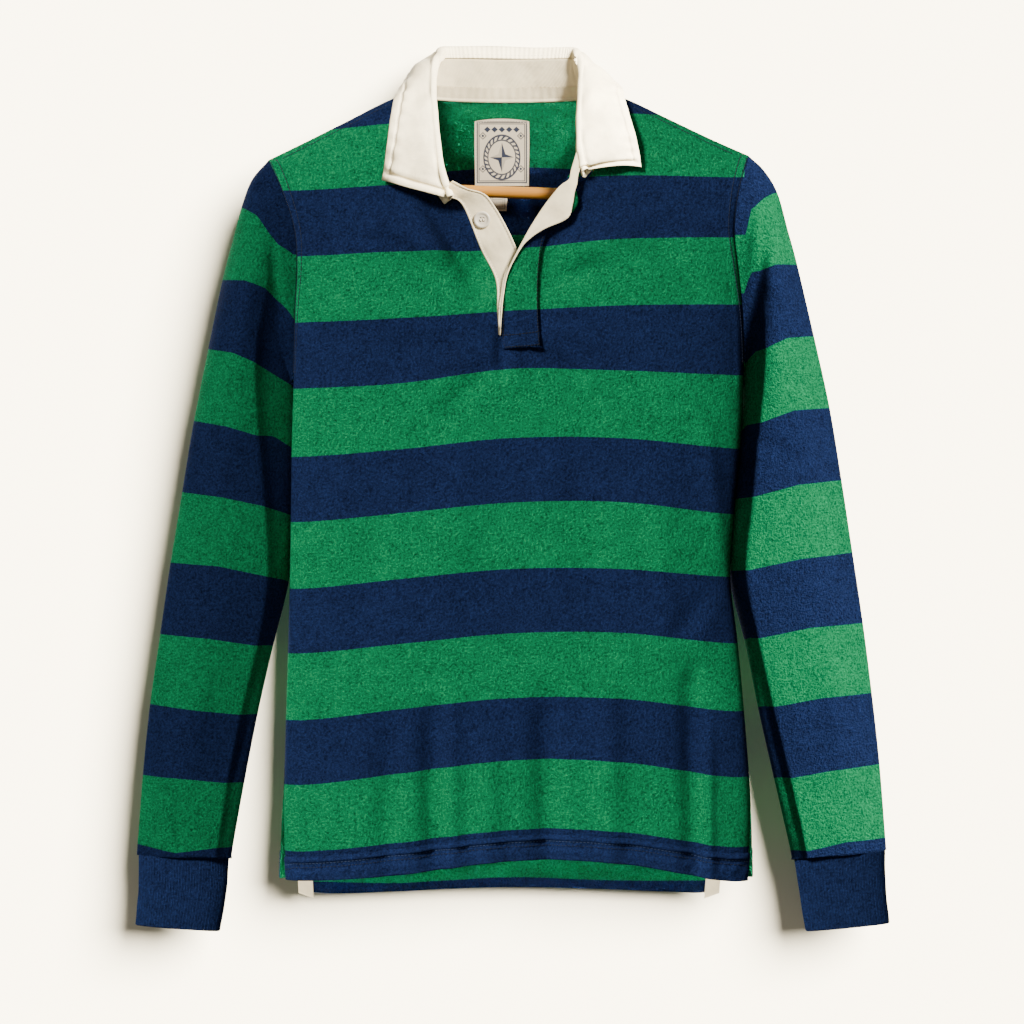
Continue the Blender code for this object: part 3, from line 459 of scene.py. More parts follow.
# ---- shader expressions ---------------------------------------------------------------------
class Skin:
    """A material with a Principled shader, built from expressions on its nodes' sockets."""

    def __init__(self, name, roughness=0.8, **constants):
        self.material = bpy.data.materials.new(name)
        self.material.use_nodes = True
        self.tree = self.material.node_tree
        self.shader = self.tree.nodes["Principled BSDF"]
        self.shader.inputs["Roughness"].default_value = roughness
        for label, value in constants.items():
            label = label.replace("_", " ").title().replace("Ior", "IOR")
            self.shader.inputs[label].default_value = value

    def node(self, kind, settings=None, **sockets):
        """Any node: its type, its settings, then the values or links of its sockets."""
        made = self.tree.nodes.new("ShaderNode" + kind)
        for label, value in (settings or {}).items():
            setattr(made, label, value)
        for label, value in sockets.items():
            key = int(label[1:]) if label[0] == "n" and label[1:].isdigit() else label.replace("_", " ")
            self.put(made.inputs[key], value)
        return made

    def put(self, socket, value):
        if isinstance(value, Worked):
            value = value.socket
        if isinstance(value, bpy.types.NodeSocket):
            self.tree.links.new(value, socket)
        else:
            socket.default_value = value

    def value(self, socket):
        return Worked(self, socket)

    def place(self):
        return self.node("TexCoord").outputs["Object"]

    def chart(self, label):
        """The two coordinates of a named UV map, in metres."""
        made = self.node("UVMap", {"uv_map": label})
        split = self.node("SeparateXYZ", Vector=made.outputs["UV"])
        return self.value(split.outputs["X"]), self.value(split.outputs["Y"])

    def noise(self, scale, detail=2.0, rough=0.5, stretch=None):
        at = self.place()
        if stretch:
            at = self.node("Mapping", Vector=at, Scale=stretch).outputs["Vector"]
        made = self.node("TexNoise", Vector=at, Scale=scale, Detail=detail, Roughness=rough)
        return self.value(made.outputs["Fac"])

    def mix(self, share, first, second, blend="MIX"):
        made = self.node("Mix", {"data_type": "RGBA", "blend_type": blend}, n0=share, n6=first, n7=second)
        return made.outputs[2]

    def bump(self, height, strength, distance, under=None):
        made = self.node("Bump", Height=height, Strength=strength, Distance=distance)
        if under is not None:
            self.put(made.inputs["Normal"], under)
        return made.outputs["Normal"]

    def give(self, **links):
        for label, value in links.items():
            self.put(self.shader.inputs[label.replace("_", " ")], value)
        return self.material


class Worked:
    """A socket's value that takes part in arithmetic: each operation adds a Math node."""

    def __init__(self, skin, socket):
        self.skin, self.socket = skin, socket

    def math(self, operation, *others, clamp=False):
        sockets = {f"n{k}": v for k, v in enumerate((self, *others))}
        made = self.skin.node("Math", {"operation": operation, "use_clamp": clamp}, **sockets)
        return Worked(self.skin, made.outputs[0])

    def __add__(self, other):
        return self.math("ADD", other)

    def __mul__(self, other):
        return self.math("MULTIPLY", other)

    def __sub__(self, other):
        return self.math("SUBTRACT", other)

    def __rsub__(self, other):
        return self.math("MULTIPLY", -1.0).math("ADD", other)

    def __truediv__(self, other):
        return self.math("DIVIDE", other)

    __radd__ = __add__
    __rmul__ = __mul__

    def rise(self, low, high):
        """0 below low and 1 above high, eased between."""
        made = self.skin.node("MapRange", {"interpolation_type": "SMOOTHSTEP"}, Value=self, n1=low, n2=high)
        return Worked(self.skin, made.outputs["Result"])

    def near(self, centre, half):
        """1 at the centre, falling to 0 at half to either side of it."""
        return 1 - (self - centre).math("ABSOLUTE").rise(0.0, half)


# Colours, as linear red, green, blue.
GREEN = (0.0092, 0.225, 0.079, 1)
NAVY = (0.0104, 0.0215, 0.073, 1)
CREAM = (0.89, 0.745, 0.455, 1)
THREAD_CREAM = (0.90, 0.78, 0.57, 1)
# dark thread colour, also used as painted shade in the cuffs' rib troughs
DARK_THREAD_AND_SHADE = (0.006, 0.012, 0.035, 1)

# Nap: noise scales to the metre, how far each noise tells in the colour, and the colour's bounds.
PEBBLE_SCALE, FLUFF_SCALE, PATCH_SCALE = 480, 1300, 75
PEBBLE_TONE, FLUFF_TONE, PATCH_TONE = 3.1, 1.3, 0.6
NAP_MEAN, NAP_DARKEST = 1.03, 0.25


def nap(skin, colour, depth=1.0):
    """Brushed jersey: pebbly nap of two to three millimetres in colour and bump, finer fluff, and
    slow patchiness where the pile lies differently."""
    pebble = skin.noise(PEBBLE_SCALE, 3.0, 0.75)
    fluff = skin.noise(FLUFF_SCALE, 2.0, 0.6)
    patch = skin.noise(PATCH_SCALE, 3.0, 0.6)
    tone = (pebble - 0.5) * PEBBLE_TONE + (fluff - 0.5) * FLUFF_TONE + (patch - 0.5) * PATCH_TONE
    tone = (tone + NAP_MEAN).math("MAXIMUM", NAP_DARKEST)
    shade = skin.node("CombineXYZ", X=tone, Y=tone, Z=tone).outputs["Vector"]
    tinted = skin.mix(1.0, colour, shade, "MULTIPLY")
    relief = pebble * 0.7 + fluff * 0.3
    broad = skin.bump(patch, 0.6 * depth, 0.004)
    return tinted, skin.bump(relief, depth, 0.008, broad)


def striped(name):
    """Jersey in even stripes by the cloth's level, with slightly furry stripe edges."""
    skin = Skin(name, 0.95, specular_ior_level=0.04)
    _, level = skin.chart("cloth")
    wander = skin.noise(900, 2.0, 0.6) * 0.0012 - 0.0006
    turn = ((level + wander) / (2 * STRIPE * MM)).math("FRACT")
    green = turn.rise(0.0, 0.0025) * (1 - turn.rise(0.4985, 0.501))
    tinted, relief = nap(skin, skin.mix(green, NAVY, GREEN))
    return skin.give(Base_Color=tinted, Normal=relief)


def plain_jersey(name, rib=False):
    """Navy jersey of the hem bands, or the fine upright ribs of the cuffs with painted shade in the troughs
    between them.
    """
    skin = Skin(name, 0.95, specular_ior_level=0.04)
    tinted, relief = nap(skin, NAVY, 0.8)
    if rib:
        round_it, _ = skin.chart("cloth")
        wave = (round_it * (2 * math.pi / 0.0026)).math("SINE")
        relief = skin.bump(wave * 0.5, 0.45, 0.0009, relief)
        # painted shade: the troughs between the ribs are darkened towards the dark thread colour
        tinted = skin.mix((0.5 - wave * 0.5) * 0.35, tinted, DARK_THREAD_AND_SHADE)
    return skin.give(Base_Color=tinted, Normal=relief)


def twill(name, stitched=False):
    """Cream twill: faint slanting ribs, slight slubs and creases, and on the collar a groove 7 mm in from its
    edges, where the stitching draws it down, darkened there by painted shade."""
    skin = Skin(name, 0.82, sheen_weight=0.08, specular_ior_level=0.3)
    across, down = skin.chart("cloth")
    slant = ((across + down) * (2 * math.pi / 0.0011)).math("SINE")
    slub = skin.noise(220, 3.0, 0.6)
    patch = skin.noise(45, 2.0, 0.5)
    tone = 0.60 + slub * 0.2 + patch * 0.56 + slant * 0.012
    shade = skin.node("CombineXYZ", X=tone, Y=tone, Z=tone * 0.995).outputs["Vector"]
    tinted = skin.mix(1.0, CREAM, shade, "MULTIPLY")
    relief = skin.bump(patch, 0.5, 0.004)
    relief = skin.bump(slant * 0.5 + slub, 0.4, 0.0007, relief)
    if stitched:
        side, foot = skin.chart("seam")
        nearer = side.math("MINIMUM", foot)
        groove = nearer.near(0.0072, 0.002)
        relief = skin.bump(1 - groove, 0.6, 0.0012, relief)
        # painted shade: the stitched groove is darkened in colour
        tinted = skin.mix(groove * 0.06, tinted, (0.45, 0.40, 0.32, 1))
    return skin.give(Base_Color=tinted, Normal=relief)


def thread(name, colour):
    skin = Skin(name, 0.7, specular_ior_level=0.3)
    slub = skin.noise(1400, 2.0)
    return skin.give(Base_Color=skin.mix(slub * 0.25, colour, (0, 0, 0, 1)))


def wood(name):
    """Light varnished wood: long grain along the bar, with a low clear coat."""
    skin = Skin(name, 0.38, coat_weight=0.35, coat_roughness=0.2)
    grain = skin.noise(90, 4.0, 0.6, stretch=(0.05, 1, 1))
    fine = skin.noise(500, 3.0, 0.6, stretch=(0.03, 1, 1))
    colour = skin.mix(grain.rise(0.35, 0.65), (0.72, 0.33, 0.045, 1), (0.55, 0.22, 0.022, 1))
    colour = skin.mix(fine * 0.25, colour, (0.36, 0.13, 0.012, 1))
    return skin.give(Base_Color=colour, Normal=skin.bump(fine, 0.15, 0.0003))


def shell(name):
    """Cream button: faintly clouded, semi-gloss."""
    skin = Skin(name, 0.33, specular_ior_level=0.5)
    cloud = skin.noise(260, 3.0, 0.55)
    colour = skin.mix(cloud, (0.62, 0.53, 0.38, 1), (0.74, 0.66, 0.50, 1))
    return skin.give(Base_Color=colour)


# ---- body panels ----------------------------------------------------------------------------
HALF = 1 - (1 - np.linspace(0, 1, 68)[1:]) ** 1.3
SHARES = np.concatenate([-HALF[::-1], [0.0], HALF])
EVEN = np.linspace(0, 1, 97)
ABOVE = ((EVEN + (1 - np.cos(np.pi * EVEN)) / 2) / 2)[:, None]
KNEE = len(ABOVE) - 1


def settle(height, rows, back):
    """Points of a panel whose rows follow given heights, each row spread evenly between the body's
    two edges at its own height."""
    x = np.tile(SHARES * 200.0, (rows, 1))
    for _ in range(12):
        z = height(x)
        left, right = body_edges(z, back)
        x = (left + right) / 2 + SHARES * (right - left) / 2
    return np.stack([x, back_y(x, z) if back else front_y(x, z), z], -1)


def above_knee(top, x):
    start = top(x)
    return start + (knee_line(x) - start) * ABOVE


def front_sheet():
    """From the shoulders to the underarm by shares, then down to the bottom by levels."""
    levels = np.linspace(UNDERARM_LEVEL, 685, 127)[1:, None]

    def height(x):
        split = KNEE + 1
        return np.concatenate([above_knee(shoulder_line, x[:split]), level_height(levels, x[split:])])

    return settle(height, KNEE + 1 + len(levels), False)


def back_sheet(shares, top_rows=True):
    """From the shoulder and neck seams to the underarm, then by shares to the back's bottom edge."""
    shares = np.asarray(shares, float)[:, None]

    def height(x):
        split = KNEE + 1 if top_rows else 0
        low = x[split:]
        knee = knee_line(low)
        lower = knee + (rising(BACK_BOTTOM, 1, low) - knee) * shares
        return np.concatenate([above_knee(back_top, x[:split]), lower]) if top_rows else lower

    return settle(height, len(shares) + (KNEE + 1 if top_rows else 0), True)


def panel(name, grid, levels, side, skin):
    """A panel's wall: its face, and the face moved in by the cloth's thickness but never across the
    seams. Its cloth map holds how far across and how far down the cloth each point lies."""
    inner = grid - side * normals(grid) * JERSEY
    inner[..., 0] = np.clip(inner[..., 0], grid[:, :1, 0], grid[:, -1:, 0])
    inner[..., 1] = side * np.maximum(side * inner[..., 1], 0.12)
    x, z = grid[..., 0], grid[..., 2]
    table = np.array(levels, float)
    level = level_of(table[:, 0], level_heights(levels, x), z)
    return wall(name, grid, inner, skin, {"cloth": np.stack([x, level], -1) * MM})


def inset(grid, distance, side=-1):
    """A line on a grid, one point a row, at an even distance in from its left or right edge."""
    line = grid if side < 0 else grid[:, ::-1]
    far = np.cumsum(np.linalg.norm(np.diff(line, axis=1), axis=2), axis=1)
    far = np.concatenate([np.zeros((len(line), 1)), far], axis=1)
    i = np.clip((far <= distance).sum(axis=1) - 1, 0, line.shape[1] - 2)
    row = np.arange(len(line))
    t = ((distance - far[row, i]) / (far[row, i + 1] - far[row, i]))[:, None]
    return line[row, i] * (1 - t) + line[row, i + 1] * t


def carve(thing, outline):
    """Cuts a prism along y over an outline in x and z out of a piece."""
    count = len(outline)
    points = np.array([(x, y, z) for y in (-80, 18) for x, z in outline], float) * MM
    faces = [list(range(count)), list(range(count, 2 * count))[::-1]]
    faces += [[i, i + count, (i + 1) % count + count, (i + 1) % count] for i in range(count)]
    mesh = bpy.data.meshes.new("opening")
    mesh.from_pydata(points.tolist(), [], faces)
    cut(thing, mesh)


def hem_band(name, grid, side, skin):
    """A band laid on the outside of a panel: rounded top edge, a ridge along its fold, a shallow
    groove where the twin stitching draws it in, and small puckers along that. All but the rounding
    fades towards the band's ends."""
    down = np.cumsum(np.linalg.norm(np.diff(grid, axis=0), axis=2), axis=0)
    down = np.concatenate([np.zeros((1, grid.shape[1])), down])
    deep = down[-1:]
    x = grid[..., 0]
    rise = 1.5 * np.minimum(rounded(down, 2.0), rounded(deep - down, 2.0))
    ridge = 2.3 * hump(down, 3.9, 1.7) - 1.0 * hump(down, 6.9, 1.1)
    drawn = -0.9 * hump(down, 11.0, 1.3) + 0.8 * hump(down, 16, 3.0)
    pucker = 1.1 * np.sin((x + 0.7 * down) * 2 * math.pi / 13 + 5.0 * ripple(x * 1.5, down * 0, 4.0))
    pucker = pucker * (0.55 + 0.9 * ripple(x * 0.9, down * 0, 2.0)) * hump(down, 13.5, 6.0)
    direction = side * normals(grid)
    direction[:, 0] = direction[:, -1] = (0, side, 0)
    ends = np.clip(np.minimum(x - x[:, :1], x[:, -1:] - x) / BAND_FADE, 0, 1)
    relief = np.maximum(rise + (ridge + drawn + pucker) * ends, 0.6 * rise)
    outer = grid + direction * (0.35 + relief)[..., None]
    maps = {"cloth": np.stack([x, down], -1) * MM}
    return wall(name, outer, grid + direction * 0.3, skin, maps), outer


# ---- sleeves and cuffs ----------------------------------------------------------------------
# Sections from the armhole to the cuff seam, from the outer edge over the front to a crease, in to
# the inner edge and round the back. crease is a fraction of the section's width.
SLEEVES = {
    "left": (
        # outer, outer_height, inner, inner_height, crease, front, at_crease, tuck, back
        (-217, 29, -193, -169, 0.55, 22, 20, 4, 18),
        (-232, 11, -195.6, -171, 0.52, 24, 21, 5, 20),
        (-241, -13.5, -194.6, -174, 0.50, 25, 22, 8, 22),
        (-248, -40, -193.4, -178, 0.50, 26, 22, 10, 23),
        (-258, -79, -192.5, -184, 0.50, 27, 22, 11, 24),
        (-271, -141, -192, -196, 0.56, 27, 21, 12, 24),
        (-284, -206, -191.5, -242, 0.66, 27, 20, 13, 24),
        (-294.6, -270, -192.5, -297, 0.75, 26, 18, 13, 23),
        (-305, -333.5, -199.5, -352, 0.84, 25, 15, 11, 21),
        (-314.4, -398, -213.5, -408, 0.88, 23, 13, 5, 18),
        (-323.5, -461, -227, -470, 0.86, 22, 12, 1, 16),
        (-330, -525, -238.5, -530, 0.85, 20, 12, 0, 14),
        (-334.8, -587, -249, -589, 0.85, 17, 12, 0, 13),
        (-335.3, -597, -250, -600, 0.85, 16, 12, 0, 12.5),
    ),
    "right": (
        (216, 32, 211, -158, 0.55, 22, 20, 4, 18),
        (230, 19, 212.4, -160, 0.54, 24, 21, 5, 20),
        (242, -1, 211.4, -163, 0.54, 25, 22, 8, 22),
        (251, -33, 209.6, -167, 0.56, 26, 22, 10, 23),
        (260, -66, 208, -173, 0.60, 27, 22, 11, 24),
        (275, -130, 208, -186, 0.70, 27, 21, 12, 24),
        (289, -194, 205.5, -230, 0.79, 27, 20, 13, 24),
        (299.7, -259, 200, -286, 0.82, 26, 18, 13, 23),
        (309.6, -324.5, 199.5, -345, 0.88, 25, 15, 12, 21),
        (319, -388, 213, -402, 0.90, 23, 13, 5, 18),
        (327, -451, 225, -463.5, 0.88, 22, 12, 1, 16),
        (334, -515, 239, -527, 0.86, 20, 12, 0, 14),
        (339.3, -582, 253.5, -591, 0.85, 17, 12, 0, 13),
        (340.2, -592.5, 254.7, -601, 0.85, 16, 12, 0, 12.5),
    ),
}
ROUND_THE_SLEEVE = (0.0, 0.15, 0.35, 0.5, 0.66, 0.84)
SLEEVE_ROWS = 190
SLEEVE_SIDES = 96
SLEEVE_LEVELS = {
    # heights of levels 0, 60, 120 ... at the outer edge, half way to the crease, just outside the
    # crease, just inside it, and at the inner edge
    "left": (
        (-13.5, -22.5, -38.7, -48.6, -57.2), (-79.2, -81, -87.3, -98, -115.2),
        (-141.3, -145.4, -153.5, -161.1, -176), (-206, -211.5, -219.6, -219.6, -233.1),
        (-270, -275, -282.6, -288, -292.5), (-333.5, -336.6, -345.6, -349.2, -351),
        (-397.8, -401.4, -407.7, -407.7, -408.2), (-460.8, -465.8, -469.8, -469.8, -469.8),
        (-524.7, -527.4, -531, -531, -531.9), (-586.8, -594, -589.5, -589.5, -588.6),
    ),
    "right": (
        (0, -7.2, -14.4, -16.7, -39.6), (-65.7, -66.6, -72, -73.4, -91.4),
        (-129.6, -132.3, -141.3, -144, -157.3), (-194.4, -197.1, -207.9, -210, -219.6),
        (-259.2, -263.7, -274.1, -276, -279), (-324.5, -330.3, -340.2, -341, -341),
        (-387.9, -391.5, -401, -401, -402.3), (-450.9, -454.5, -462.6, -462.6, -463.5),
        (-514.8, -519.3, -526.5, -526.5, -527.4), (-581.4, -584.1, -592.2, -592.2, -592.7),
    ),
}
SLEEVE_CREASES = {
    "left": (
        (-204, -46, -194, -120, 5, 3.0), (-213, -40, -202, -125, 6, -3.5),
        (-311, -505, -312, -600, 5, 2.2), (-298, -535, -297, -600, 4, -2.2),
        (-232, -470, -253, -540, 2.5, -1.6), (-290, -180, -240, -240, 10, 1.8),
        (-285, -250, -225, -285, 8, -1.8), (-300, -330, -235, -372, 10, 1.7),
        (-250, -100, -262, -200, 8, -1.6), (-270, -420, -285, -520, 9, 1.6),
    ),
    "right": (
        (222, -20, 212, -98, 5, 3.0), (233, -25, 221, -105, 6, -3.5),
        (268, -190, 284, -370, 8, 2.6), (284, -350, 296, -530, 8, 2.4),
        (232, -465, 265, -595, 2.5, -1.6), (215, -215, 262, -250, 8, -1.8),
        (250, -120, 262, -200, 8, -1.8), (300, -300, 312, -420, 7, -1.8),
        (240, -420, 268, -520, 8, 1.5), (318, -500, 322, -600, 5, -1.6),
    ),
}
SLEEVE_BACK_CREASES = {
    "left": ((-250, -60, -262, -260, 10, 2.5), (-285, -240, -300, -520, 9, 2.2),
             (-240, -300, -280, -360, 9, -2.5), (-225, -150, -270, -180, 9, -2)),
    "right": ((250, -60, 262, -260, 10, 2.5), (290, -240, 305, -520, 9, 2.2),
              (235, -300, 285, -370, 9, -2.5), (228, -150, 272, -190, 9, -2)),
}
CUFFS = {
    "left": (
        # outer, outer_height, inner, inner_height, front, back
        (-333.4, -597.1, -252.6, -599.9, 14, 12),
        (-333.6, -628, -255, -632, 13.5, 11.5),
        (-336.6, -660, -260.6, -665.5, 13.5, 11.5),
    ),
    "right": (
        (338.6, -592.9, 257.4, -600.9, 14, 12),
        (339.4, -626, 262, -632, 13.5, 11.5),
        (342.6, -658.5, 267.4, -665.5, 13.5, 11.5),
    ),
}
CUFF_WALL = 2.6
RIBS = 118
CREST, CREST_OUTSIDE, CREST_INSIDE = 6.5, 16, 4.0  # the ridge at a sleeve's crease, and its two slopes


def armhole_ring(front, back, column, around):
    """The panels' own edge line round one armhole, read at places round the sleeve."""
    down, up = front[:KNEE + 1, column], back[:KNEE + 1, column]
    z = down[0, 2] - (down[0, 2] - down[-1, 2]) * (1 - np.cos(2 * math.pi * around)) / 2
    read = lambda line, k: np.interp(-z, -line[:, 2], line[:, k])
    ahead = around < 0.5
    x = np.where(ahead, read(down, 0), read(up, 0)) + (-0.15 if column == 0 else 0.15)
    y = np.where(ahead, read(down, 1), read(up, 1))
    y[[0, len(y) // 2]] = 0
    return np.stack([x, y, z], -1)


def round_sections(rows, around):
    """Every section's six named points joined by a closed cubic, read at places round it."""
    outer, outer_z, inner, inner_z, crease, front, at_crease, tuck, back = rows.T
    none = crease * 0
    share = np.stack([none, crease * 0.42, crease, none + 1, none + 0.66, none + 0.3])
    y = np.stack([none, -front, -at_crease, tuck, back, back])
    points = np.stack([outer + (inner - outer) * share, y, outer_z + (inner_z - outer_z) * share], -1)
    spots = np.array(ROUND_THE_SLEEVE)
    spots = np.concatenate([spots[-3:] - 1, spots, spots[:3] + 1])
    points = np.concatenate([points[-3:], points, points[:3]])
    basis = np.stack([smooth(spots, one, around) for one in np.eye(len(spots))], -1)
    return np.einsum("ak,knc->nac", basis, points)


def sleeve(side, front, back, skin):
    """Rings from the armhole to the cuff seam, with the creases of its front and back, and in front a
    ridge where it folds in, long outside and short inside. Its cloth map follows the stripes."""
    around = np.arange(SLEEVE_SIDES) / SLEEVE_SIDES
    stations = np.linspace(0, len(SLEEVES[side]) - 1, SLEEVE_ROWS)
    rows = rows_at(SLEEVES[side], stations)
    grid = round_sections(rows, around)
    ring = armhole_ring(front, back, 0 if side == "left" else -1, around)
    fade = np.clip(1 - stations / 3.2, 0, 1)[:, None, None] ** 1.5
    grid = grid + (ring - grid[0]) * fade
    x, z = grid[..., 0], grid[..., 2]
    ahead = (around < 0.5)[None]
    before, behind = (creases(table[side], x, z) for table in (SLEEVE_CREASES, SLEEVE_BACK_CREASES))
    made = np.where(ahead, -before, behind)
    made = made - np.where(ahead, 1.0, -1.0) * 0.8 * ripple(x, z, 6.0 if side == "left" else 8.0)
    off = (x - rows[:, :1]) / (rows[:, 2:3] - rows[:, :1]) - rows[:, 4:5]
    off = off * np.abs(rows[:, 2:3] - rows[:, :1])
    crest = np.where(off < 0, np.exp(off / CREST_OUTSIDE), np.exp(-off / CREST_INSIDE))
    crest = crest * np.clip(stations / 4, 0, 1)[:, None]
    made = made - np.where(ahead, CREST * crest, 0)
    held = np.clip(stations / 1.5, 0, 1) * np.clip((stations[-1] - stations) / 0.25, 0.15, 1)
    grid[..., 1] += made * np.abs(np.sin(2 * math.pi * around)) ** 0.6 * held[:, None]
    w = np.clip((x - rows[:, :1]) / (rows[:, 2:3] - rows[:, :1]), 0, 1)
    crease = rows[:, 4:5]
    table = np.array(SLEEVE_LEVELS[side], float)[:, :, None, None]
    knots = (0 * crease, crease / 2, crease - 0.02, np.minimum(crease + 0.14, 0.97), 0 * crease + 1)
    heights = table[:, 0] + 0 * w
    for k in range(4):
        ramp = np.clip((w - knots[k]) / (knots[k + 1] - knots[k]), 0, 1)
        heights = heights + (table[:, k + 1] - table[:, k]) * ramp
    plain = table[:, 0] + (table[:, 4] - table[:, 0]) * w
    level = level_of(np.arange(len(table)) * STRIPE, np.where(ahead, heights, plain), z)
    outward = normals(grid, closed=True)
    outward *= np.sign(((grid - grid.mean(axis=1, keepdims=True)) * outward).sum())
    maps = {"cloth": np.stack([x, level], -1) * MM}
    return wall(f"sleeve_{side}_cloth", grid, grid - outward * JERSEY, skin, maps, closed=True)


def cuff_ring(rows, angle, inward):
    """Flattened ovals between an outer and an inner edge, each moved in by its own amount."""
    outer, outer_z, inner, inner_z, front, back = (column[:, None] for column in rows.T)
    way = np.sign(inner - outer)
    share = (1 - np.cos(angle)) / 2
    depth = np.abs(np.sin(angle)) ** 0.75
    x = outer + way * inward + (inner - outer - 2 * way * inward) * share
    y = np.where(np.sin(angle) > 0, -(front - inward), back - inward) * depth
    return np.stack([x, y, outer_z + (inner_z - outer_z) * share], -1)


def cuff(side, skin):
    """A ribbed tube with a rounded lower edge: four columns to a rib, set evenly round."""
    table = CUFFS[side]
    fine = np.linspace(0, 2 * math.pi, 2001)
    path = cuff_ring(rows_at(table, np.array([1.0])), fine, 0.0)[0]
    far = lengths(path)
    sides = RIBS * 4
    angle = np.interp(np.arange(sides) * far[-1] / sides, far, fine)[None]
    ends = np.array([0, 0.02, 0.05, 0.1])
    at = np.concatenate([ends, np.linspace(0.16, 1.9, 20), 2 - 0.5 * ends[::-1]])
    rows = rows_at(table, at)
    rib = -0.22 * np.cos(np.arange(sides) * math.pi / 2)[None]
    x = rows[:, :1] + np.arange(sides)[None] * 0.4
    sway = 0.5 * ripple(x * 2.2, at[:, None] * 40, 3.0 if side == "left" else 5.0)
    near_foot = (2 - at)[:, None] * 33.0
    half = rounded(near_foot, CUFF_WALL)
    outer = cuff_ring(rows, angle, CUFF_WALL / 2 - half + rib + sway)
    inner = cuff_ring(rows, angle, CUFF_WALL / 2 + half - 0.2 * rib + sway)
    round_it = np.broadcast_to(np.arange(sides)[None] * far[-1] / sides, outer.shape[:2])
    maps = {"cloth": np.stack([round_it, at[:, None] * 33 + 0 * round_it], -1) * MM}
    return wall(f"cuff_{side}_knit", outer, inner, skin, maps, closed=True)


# ---- collar ---------------------------------------------------------------------------------
COLLAR = (
    # base_x, base_z, fold_x, fold_y, fold_z, edge_x, edge_y, edge_z, arch
    (-57, -12, -52, -39, -6, -113.4, -33, 8.5, 0.20),
    (-66, 2, -58.5, -40, 13.5, -111, -34, 27, 0.15),
    (-73, 27, -62, -35, 40, -108.2, -33, 48, 0.10),
    (-76, 52, -65, -25, 66, -105.4, -26, 68, 0.12),
    (-77, 75, -67, -13, 88.5, -102.5, -13, 84.5, 0.16),
    (-75, 93, -66.5, 3, 113, -97.5, 6, 96, 0.22),
    (-68, 95.5, -62.5, 14, 129, -92, 24, 95, 0.20),
    (-50, 95, -55.5, 25, 133, -71, 34, 79, 0.16),
    (0, 94, 0, 31, 133, 0, 38, 71, 0.16),
    (48, 95, 53.5, 25, 133, 71, 34, 80, 0.14),
    (64, 95.5, 61.5, 14, 129.5, 95, 24, 94, 0.10),
    (71, 93, 63.5, 3, 114, 101.5, 6, 94, 0.14),
    (74, 75, 62.3, -13, 88.5, 104, -13, 83.5, 0.16),
    (75, 52, 60.8, -25, 66, 108, -26, 67, 0.12),
    (76, 33, 60.8, -35, 44, 113, -33, 49, 0.10),
    (74, 19, 63.5, -39, 26, 116.5, -34, 33, 0.10),
    (68, 11, 68, -39, 17.5, 118.2, -34, 20, 0.10),
)
FRONT_STATIONS = 6
ROLL = 3.0
LEAF_WALL = 2.0
STITCH_IN = 7.0
END_SPACING, SPACING = 18.5, 15  # mm between the collar's stations: at its ends, and in its maps
FAR_IN = 60.0         # stands for any place of the leaf that is far from an edge
SLIT = (
    (-46, -9), (-37, -20), (-22, -52), (-8.5, -82), (-3, -112), (-2, -131), (24, -132),
    (22, -100), (22.6, -74), (27.5, -46), (33, -32), (46, -11), (62, 7),
)
# Places along the leaf's free edge, in from its two front ends, and rows up from that edge, in mm.
END_STEPS = np.array([0, 0.08, 0.3, 0.65, 1.1, 2.6, 4.4, 5.8, 7.0, 8.2, 10.0])
STITCH_STEP = 8       # the place of STITCH_IN in END_STEPS


def collar_frames(at):
    """The collar's table read at stations: neck seam, roll line, free edge, arch, and the ways up
    the stand and out from the neck."""
    read = rows_at(COLLAR, at)
    x, z = read[:, 0], read[:, 1]
    base_y = np.where(read[:, 3] < 4, front_y(x, z), back_y(x, z) - JERSEY)
    base, fold, edge, arch = np.stack([x, base_y, z], -1), read[:, 2:5], read[:, 5:8], read[:, 8:]
    up = unit(fold - base)
    out = unit(np.cross(up, np.gradient(fold, at, axis=0)))
    out *= np.sign((out * (fold - (0, 0, 60))).sum(axis=1, keepdims=True))
    return base, fold, edge, arch, up, out


def inside_reach(base, fold):
    return np.clip(np.linalg.norm(fold - base, axis=1)[:, None] - ROLL - 4, 1, 8.0)


def collar_stations():
    near = END_STEPS / END_SPACING
    last = len(COLLAR) - 1
    return np.concatenate([near, np.linspace(near[-1], last - near[-1], 112)[1:-1], last - near[::-1]])


def collar_stand(skin):
    """From the neck seam up to the leaf's seam inside, with soft upright wrinkles."""
    at = collar_stations()
    base, fold, _, _, up, out = collar_frames(at)
    low = base + up * 0.3
    high = fold - up * (ROLL + inside_reach(base, fold) + 0.5) - out * ROLL
    share = np.linspace(0, 1, 14)[:, None, None]
    face = low * (1 - share) + high * share
    length = np.linalg.norm(high - low, axis=1)[None] * share[..., 0]
    wrinkle = 4.0 * ripple(at[None] * 62, length * 0.9, 2.0) * np.sin(math.pi * share[..., 0]) ** 0.7
    face = face + out * wrinkle[..., None]
    along = np.broadcast_to(at[None] * SPACING, length.shape)
    maps = {"cloth": np.stack([along, length], -1) * MM}
    return wall("collar_stand_cloth", face + out * 1.4, face, skin, maps), face, out


